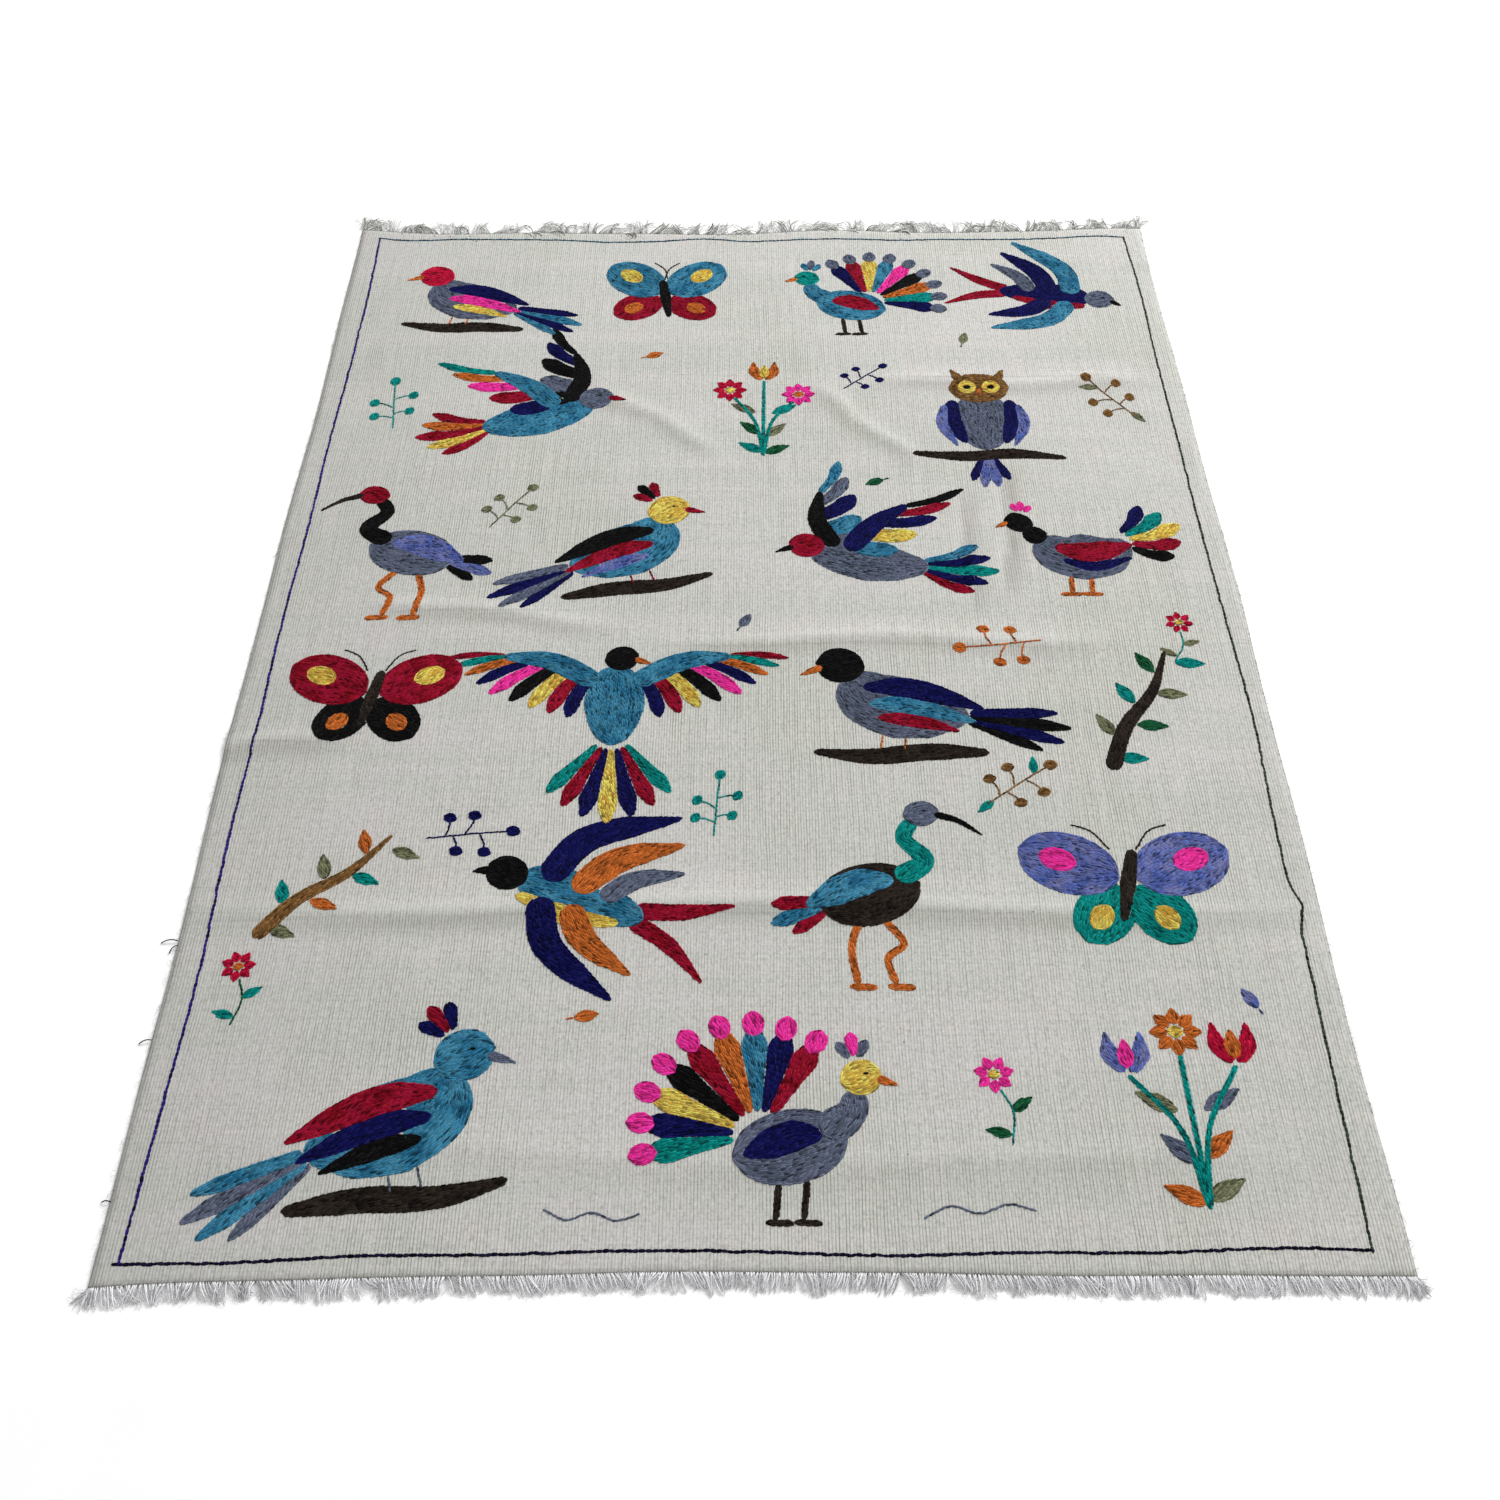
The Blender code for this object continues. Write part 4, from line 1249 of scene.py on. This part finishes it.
def draw_fillers():
    """Small twigs, flowers and leaves in the gaps between the large motifs."""
    berries(Place(-0.66, 1.60, 0.95, 70), "teal", "teal")
    berries(Place(0.205, 1.68, 0.72, 15), "navy", "navy")
    berries(Place(0.66, 1.62, 0.95, 100), "tan", "tan", "sage")
    berries(Place(-0.42, 1.33, 0.85, 30), "sage", "sage")
    berries(Place(0.40, 1.01, 0.95, 160), "orange", "orange")
    berries(Place(-0.415, 0.645, 0.9, -20), "navy", "navy")
    berries(Place(0.395, 0.735, 0.9, 10), "tan", "tan", "teal")
    berries(Place(-0.055, 0.695, 0.8, 60), "teal", "teal")
    small_flower(Place(0.685, 1.02, 0.95, -10), "rose", "yellow", "teal", "sage")
    small_flower(Place(-0.70, 0.38, 1.0, 8), "rose", "orange", "green", "teal")
    small_flower(Place(0.325, 0.215, 1.1, 12), "pink", "yellow", "teal", "green")
    for x, y, angle, yarn in ((-0.20, 1.74, 20, "orange"), (0.23, 1.40, 200, "green"), (-0.02, 1.05, 60, "slate"),
                              (0.68, 0.36, 120, "lavender"), (-0.24, 0.345, 10, "orange"), (0.40, 1.78, 75, "sage")):
        leaf(Place(x, y), yarn, (0, 0), angle, 3.4, 2.0)
        line(Place(x, y), yarn, ((0, 0), (-1.1 * math.cos(math.radians(angle)), -1.1 * math.sin(math.radians(angle)))))
    line(Place(0.28, 0.075), "slate", ((-7, -0.6), (-3.5, 1.0), (0, 0), (3.5, 1.2), (7, 0.4)))
    line(Place(-0.20, 0.075), "slate", ((-6, 0.6), (-3, -0.8), (0, 0.2), (3, -0.9), (6, 0)))


# The border line

def border_corner(first, second):
    """The point where the lines along a side edge and an end edge meet."""
    across = 0.0 if first == "left" else 1.0
    along = 0.0 if second == "near" else 1.0
    x, y = outline_point(np.array([across]), np.array([along]))
    place = -1 if along else 0
    inward_x = BORDER_INSETS[first][place] * (1 if first == "left" else -1)
    inward_y = BORDER_INSETS[second][0 if first == "left" else -1] * (1 if second == "near" else -1)
    return np.array((x[0] + inward_x, y[0] + inward_y))


def unit(vector):
    """A vector's direction, with length one."""
    return vector / np.hypot(*vector)


def border_path(side):
    """The wandering path of the border line along one edge."""
    insets = BORDER_INSETS[side]
    fractions = np.linspace(0, 1, len(insets))
    if side in ("left", "right"):
        ends = (border_corner(side, "near"), border_corner(side, "far"))
        across = np.full(len(insets), 0.0 if side == "left" else 1.0)
        x, y = outline_point(across, fractions)
        points = np.column_stack((x + np.array(insets) * (1 if side == "left" else -1), y))
    else:
        ends = (border_corner("left", side), border_corner("right", side))
        along = np.full(len(insets), 0.0 if side == "near" else 1.0)
        x, y = outline_point(fractions, along)
        points = np.column_stack((x, y + np.array(insets) * (1 if side == "near" else -1)))
    first, last = BORDER_OVERRUNS[side]
    points[0] = ends[0] + first * unit(ends[0] - points[1])
    points[-1] = ends[1] + last * unit(ends[1] - points[-2])
    return points


def build_border():
    """A single row of long stitches along each edge, which wanders a little as it was sewn by eye."""
    for side, yarn in BORDER_YARNS.items():
        curve, reach = smooth_curve(border_path(side), 24)
        if side == "right":
            middle, half_length, depth = BORDER_KINK
            curve[:, 0] += depth * np.clip(1 - np.abs(curve[:, 1] - middle) / half_length, 0, 1)
        distance = 0.0
        previous = curve[0]
        while distance < reach[-1]:
            distance += BORDER_STEP * (0.8 + 0.4 * random.random())
            x = np.interp(distance, reach, curve[:, 0]) + BORDER_WANDER * random.normal()
            y = np.interp(distance, reach, curve[:, 1]) + BORDER_WANDER * random.normal()
            ahead = np.array((x, y)) - previous
            ahead = ahead / np.hypot(*ahead) * BORDER_OVERLAP
            width = BORDER_WIDTHS[side] * (0.85 + 0.35 * random.random())
            stitches[yarn].append((*(previous - ahead), *((x, y) + ahead), width))
            previous = np.array((x, y))


# The fringes

def tubes(paths, radii, sides):
    """Points and faces of many thin tubes. Paths are (tubes, points, 3) and radii (tubes, points)."""
    count, points, _ = paths.shape
    ahead = np.gradient(paths, axis=1)
    ahead /= np.linalg.norm(ahead, axis=2, keepdims=True) + 1e-12
    level = np.cross(ahead, (0.0, 0.0, 1.0))
    level /= np.linalg.norm(level, axis=2, keepdims=True) + 1e-12
    upward = np.cross(level, ahead)
    turn = 2 * np.pi * np.arange(sides) / sides
    ring = (level[:, :, None, :] * np.cos(turn)[None, None, :, None]
            + upward[:, :, None, :] * np.sin(turn)[None, None, :, None])
    vertices = paths[:, :, None, :] + ring * radii[:, :, None, None]
    index = np.arange(count * points * sides).reshape(count, points, sides)
    following = np.roll(index, -1, axis=2)
    walls = np.stack((index[:, :-1], following[:, :-1], following[:, 1:], index[:, 1:]), axis=-1).reshape(-1, 4)
    first = index[:, 0, ::-1].reshape(-1, sides)
    last = index[:, -1].reshape(-1, sides)
    share = np.broadcast_to(np.arange(points)[None, :, None], index.shape)
    around = np.broadcast_to(np.arange(sides)[None, None, :] / sides, index.shape)
    return vertices.reshape(-1, 3), walls, np.vstack((first, last)), share.ravel(), around.ravel()


def strand_paths(end, roots, lengths, headings, curls, arch):
    """Paths of strands that leave the cloth's edge, lean and curl in plan, and settle on the floor."""
    outward = -1.0 if end == "near" else 1.0
    part = np.linspace(0, 1, STRAND_POINTS)[None, :]
    heading = headings[:, None] + curls[:, None] * part ** 1.3
    step = lengths[:, None] / (STRAND_POINTS - 1)
    dx = np.sin(heading) * step
    dy = outward * np.cos(heading) * step
    x = roots[:, 0:1] + np.cumsum(dx, axis=1) - dx[:, 0:1]
    y = roots[:, 1:2] + np.cumsum(dy, axis=1) - dy[:, 0:1]
    z = 0.0018 * (1 - part) + arch[:, None] * np.sin(np.pi * part) + 0.0010 * part
    return np.stack((x, y, z), axis=2)


def lock_values(fringe, place):
    """For each end, its lock's middle, and three values that are shared within the lock."""
    bounds = [0.0]
    while bounds[-1] < CLOTH_WIDTH:
        bounds.append(bounds[-1] + fringe["lock"] * (0.5 + random.random()))
    bounds = np.array(bounds)
    lock = np.clip(np.searchsorted(bounds, place) - 1, 0, len(bounds) - 2)
    middle = (bounds[lock] + bounds[lock + 1]) / 2
    lean = random.normal(size=len(bounds))[lock]
    bend = random.normal(size=len(bounds))[lock]
    stretch = random.random(len(bounds))[lock]
    return middle, lean, bend, stretch


def fringe_ends(end):
    """Where each warp end starts, its length, its heading and its curl. Corner tufts come last."""
    fringe = dict(zip(FRINGE_COLUMNS, FRINGES[end]))
    count = fringe["ends"]
    share = (np.arange(count) + 0.5 + 0.25 * random.normal(size=count)) / count
    share = np.clip(share, 0.001, 0.999)
    place = share * CLOTH_WIDTH
    middle, lean, bend, stretch = lock_values(fringe, place)
    blend = np.clip(0.75 * stretch + 0.25 * random.random(count), 0, 1)
    length = fringe["short"] + (fringe["long"] - fringe["short"]) * blend
    gather = (middle - place) / length * fringe["gather"]
    heading = fringe["drift"] + fringe["lean"] * lean + gather + 0.12 * random.normal(size=count)
    curl = np.radians(fringe["curl"]) * (0.8 * bend + 0.5 * random.normal(size=count))

    for side, reach in TAIL_REACH[end].items():
        turn = -1 if side == "left" else 1
        corner = 0.001 if side == "left" else 0.999
        tuft = np.full(TAIL_ENDS, corner) - turn * 0.004 * random.random(TAIL_ENDS)
        tuft_length = fringe["long"] * (0.6 + 0.4 * random.random(TAIL_ENDS))
        tuft_heading = turn * np.arcsin(min(0.95, reach / fringe["long"])) + 0.16 * random.normal(size=TAIL_ENDS)
        share = np.concatenate((share, tuft))
        length = np.concatenate((length, tuft_length))
        heading = np.concatenate((heading, tuft_heading))
        curl = np.concatenate((curl, 0.3 * random.normal(size=TAIL_ENDS)))
    x, y = outline_point(share, np.full(len(share), 0.0 if end == "near" else 1.0))
    roots = np.column_stack((x, y + (ROOT_INSET if end == "near" else -ROOT_INSET)))
    return roots, length, heading, curl


def fringe_map(paths_shape, first_cell, cells, share, around):
    """A map with one narrow upright cell for each strand, for strands of even numbers of points and sides."""
    count, points, sides = paths_shape
    side = math.ceil(math.sqrt(cells))
    number = first_cell + np.repeat(np.arange(count), points * sides)
    across = (number % side + 0.1 + 0.8 * around) / side
    along = (number // side + 0.1 + 0.8 * share / points) / side
    return across, along


def build_fringe(end):
    """One fringe: twisted warp ends gathered in loose locks, with fine fibres that part from them."""
    fringe = dict(zip(FRINGE_COLUMNS, FRINGES[end]))
    roots, length, heading, curl = fringe_ends(end)
    count = len(roots)
    arch = 0.0012 + 0.0022 * random.random(count)
    paths = strand_paths(end, roots, length, heading, curl, arch)
    part = np.linspace(0, 1, STRAND_POINTS)[None, :]
    radii = STRAND_RADIUS * (0.85 + 0.3 * random.random(count))[:, None] * (1.0 - 0.5 * part ** 2)

    # Fibres: finer, wilder strands about each end
    source = np.repeat(np.arange(count), fringe["fibres"])
    many = len(source)
    fibre_roots = roots[source] + np.column_stack((0.0012 * random.normal(size=many), np.zeros(many)))
    fibre_length = length[source] * (0.75 + 0.4 * random.random(many))
    fibre_heading = heading[source] + 0.28 * random.normal(size=many)
    fibre_curl = curl[source] + 0.9 * random.normal(size=many)
    fibre_arch = 0.001 + 0.004 * random.random(many)
    fibres = strand_paths(end, fibre_roots, fibre_length, fibre_heading, fibre_curl, fibre_arch)
    fibre_radii = np.full((many, STRAND_POINTS), FIBRE_RADIUS)

    thick = tubes(paths, radii, STRAND_SIDES)
    thin = tubes(fibres, fibre_radii, FIBRE_SIDES)
    shift = len(thick[0])
    vertices = np.vstack((thick[0], thin[0]))
    vertices[:, 2] = np.maximum(vertices[:, 2], 0.0001)
    faces = [np.vstack((thick[1], thin[1] + shift)), thick[2], thin[2] + shift]
    piece, corners = new_piece("warp_ends_" + end, vertices, faces)
    cells = count + many
    thick_map = fringe_map((count, STRAND_POINTS, STRAND_SIDES), 0, cells, thick[3], thick[4])
    thin_map = fringe_map((many, STRAND_POINTS, FIBRE_SIDES), count, cells, thin[3], thin[4])
    across, along = (np.concatenate(parts) for parts in zip(thick_map, thin_map))
    add_map(piece, corners, "OFBake", across, along)
    turns = np.concatenate((thick[3], thin[3])) * 1.4
    add_map(piece, corners, "yarn", turns, np.concatenate((thick[4], thin[4])))
    # The tufts at the corners are the greyest.
    dull = random.random(count) < fringe["dull"]
    dull[-2 * TAIL_ENDS:] = random.random(2 * TAIL_ENDS) < TAIL_DULL
    tone = np.clip(0.80 + 0.16 * random.normal(size=count) - 0.6 * dull, 0, 1)
    fibre_tone = np.clip(0.85 + 0.16 * random.normal(size=many) - 0.5 * dull[source], 0, 1)
    add_tone(piece, np.concatenate((np.repeat(tone, STRAND_POINTS * STRAND_SIDES),
                                    np.repeat(fibre_tone, STRAND_POINTS * FIBRE_SIDES))))
    piece.data.materials.append(fringe_material("fringe_wool_" + end, fringe["light"], fringe["dark"]))
    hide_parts("fringe_" + end)
    return piece


def stray_paths(across, along, length, heading, turn):
    """Paths of ends that stick out past the outline, from places on it. Heading and turn are in radians."""
    part = np.linspace(0, 1, STRAND_POINTS)[None, :]
    x, y = outline_point(across, along)
    bend = heading[:, None] + turn[:, None] * part
    step = length[:, None] / (STRAND_POINTS - 1)
    path_x = (x - STRAY_INSET * np.cos(heading))[:, None] + np.cumsum(np.cos(bend), axis=1) * step
    path_y = (y - STRAY_INSET * np.sin(heading))[:, None] + np.cumsum(np.sin(bend), axis=1) * step
    path_z = (fold_height(x, y) + 0.0026)[:, None] - 0.0018 * part + 0.002 * np.sin(np.pi * part)
    return np.stack((path_x, path_y, path_z), axis=2)


def stray_piece(name, paths, radius, sides, material):
    """One piece of thin tubes along the paths."""
    vertices, walls, caps, share, around = tubes(paths, np.full(paths.shape[:2], radius), sides)
    piece, corners = new_piece(name, vertices, [walls, caps])
    map_across, map_along = fringe_map((len(paths), STRAND_POINTS, sides), 0, len(paths), share, around)
    add_map(piece, corners, "OFBake", map_across, map_along)
    add_map(piece, corners, "yarn", share, 0.5 * around)
    add_tone(piece, np.full(len(vertices), 0.5))
    piece.data.materials.append(material)
    return piece


def build_loose_ends():
    """Short ends of dark yarn that stick out past the left selvedge and the far end."""
    columns = [np.array(column, float) for column in zip(*LOOSE_ENDS)]
    loose = dict(zip(LOOSE_END_COLUMNS, columns))
    turn = np.full(len(LOOSE_ENDS), math.radians(LOOSE_END_TURN))
    paths = stray_paths(loose["across"], loose["along"], loose["length"], np.radians(loose["heading"]), turn)
    material = bpy.data.materials["yarn_midnight"]
    return stray_piece("loose_ends", paths, LOOSE_END_RADIUS, STRAND_SIDES, material)


def build_hairs():
    """Fine fibres that stand out from both selvedges."""
    count = 2 * HAIRS_PER_SIDE
    across = np.repeat((0.0, 1.0), HAIRS_PER_SIDE)
    along = 0.004 + 0.992 * random.random(count)
    length = HAIR_LENGTH * (0.4 + random.random(count))
    heading = np.pi * (1 - across) + 0.8 * random.normal(size=count)
    paths = stray_paths(across, along, length, heading, 1.3 * random.normal(size=count))
    material = bpy.data.materials["fringe_wool_near"]
    return stray_piece("selvedge_fibres", paths, FIBRE_RADIUS, FIBRE_SIDES, material)


# The floor, the light and the camera

def build_floor():
    """A wide plain floor under the rug."""
    reach = 9.0
    mesh = bpy.data.meshes.new("floor")
    corners = [(-reach, -reach, 0), (reach, -reach, 0), (reach, reach, 0), (-reach, reach, 0)]
    mesh.from_pydata(corners, [], [(0, 1, 2, 3)])
    mesh.materials.append(floor_material())
    floor = bpy.data.objects.new("floor", mesh)
    bpy.context.scene.collection.objects.link(floor)
    floor.location.z = -0.0003


def aim(thing, target):
    """Turn a light so that it points at a place."""
    direction = Vector(target) - thing.location
    thing.rotation_euler = direction.to_track_quat("-Z", "Y").to_euler()


def build_light():
    """An even pale sky, and one large soft lamp from the far right for the relief of ribs and folds."""
    world = bpy.data.worlds.new("studio")
    bpy.context.scene.world = world
    world.use_nodes = True
    background = world.node_tree.nodes["Background"]
    background.inputs["Color"].default_value = (1.0, 1.0, 1.0, 1.0)
    background.inputs["Strength"].default_value = SKY_STRENGTH
    lamp_data = bpy.data.lights.new("window", "AREA")
    lamp_data.shape = "RECTANGLE"
    lamp_data.size, lamp_data.size_y = LAMP_SIZE
    lamp_data.energy = LAMP_POWER
    lamp = bpy.data.objects.new("window", lamp_data)
    bpy.context.scene.collection.objects.link(lamp)
    lamp.location = LAMP_PLACE
    aim(lamp, LAMP_TARGET)


def build_camera():
    """The photograph's viewing angle: from above the near end, looking along the rug."""
    camera_data = bpy.data.cameras.new("camera")
    camera_data.sensor_width = SENSOR_WIDTH
    camera_data.lens = FOCAL_PIXELS / FRAME_PIXELS * SENSOR_WIDTH
    camera_data.clip_end = 50
    camera = bpy.data.objects.new("camera", camera_data)
    bpy.context.scene.collection.objects.link(camera)
    camera.location = (CAMERA_ACROSS + SHIFT[0], SHIFT[1] - CAMERA_BACK, CAMERA_HEIGHT)
    camera.rotation_euler = (math.radians(90 - CAMERA_PITCH), 0, 0)
    bpy.context.scene.camera = camera


def place_of_solids():
    """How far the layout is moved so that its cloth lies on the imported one."""
    share = np.linspace(0, 1, 400)
    low_x = left_edge(share).min()
    high_x = right_edge(share).max()
    low_y = near_edge(share).min()
    high_y = far_edge(share).max()
    low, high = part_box("cloth")
    return ((low[0] + high[0] - low_x - high_x) / 2, (low[1] + high[1] - low_y - high_y) / 2, 0.0)


SHIFT = place_of_solids()
bpy.context.scene.view_settings.view_transform = "Standard"
build_camera()
build_floor()
build_light()
cloth = build_cloth()
draw_motifs()
build_border()
embroidery = build_stitches()
embroidery.append(build_loose_ends())
fringes = [build_fringe("near"), build_fringe("far"), build_hairs()]
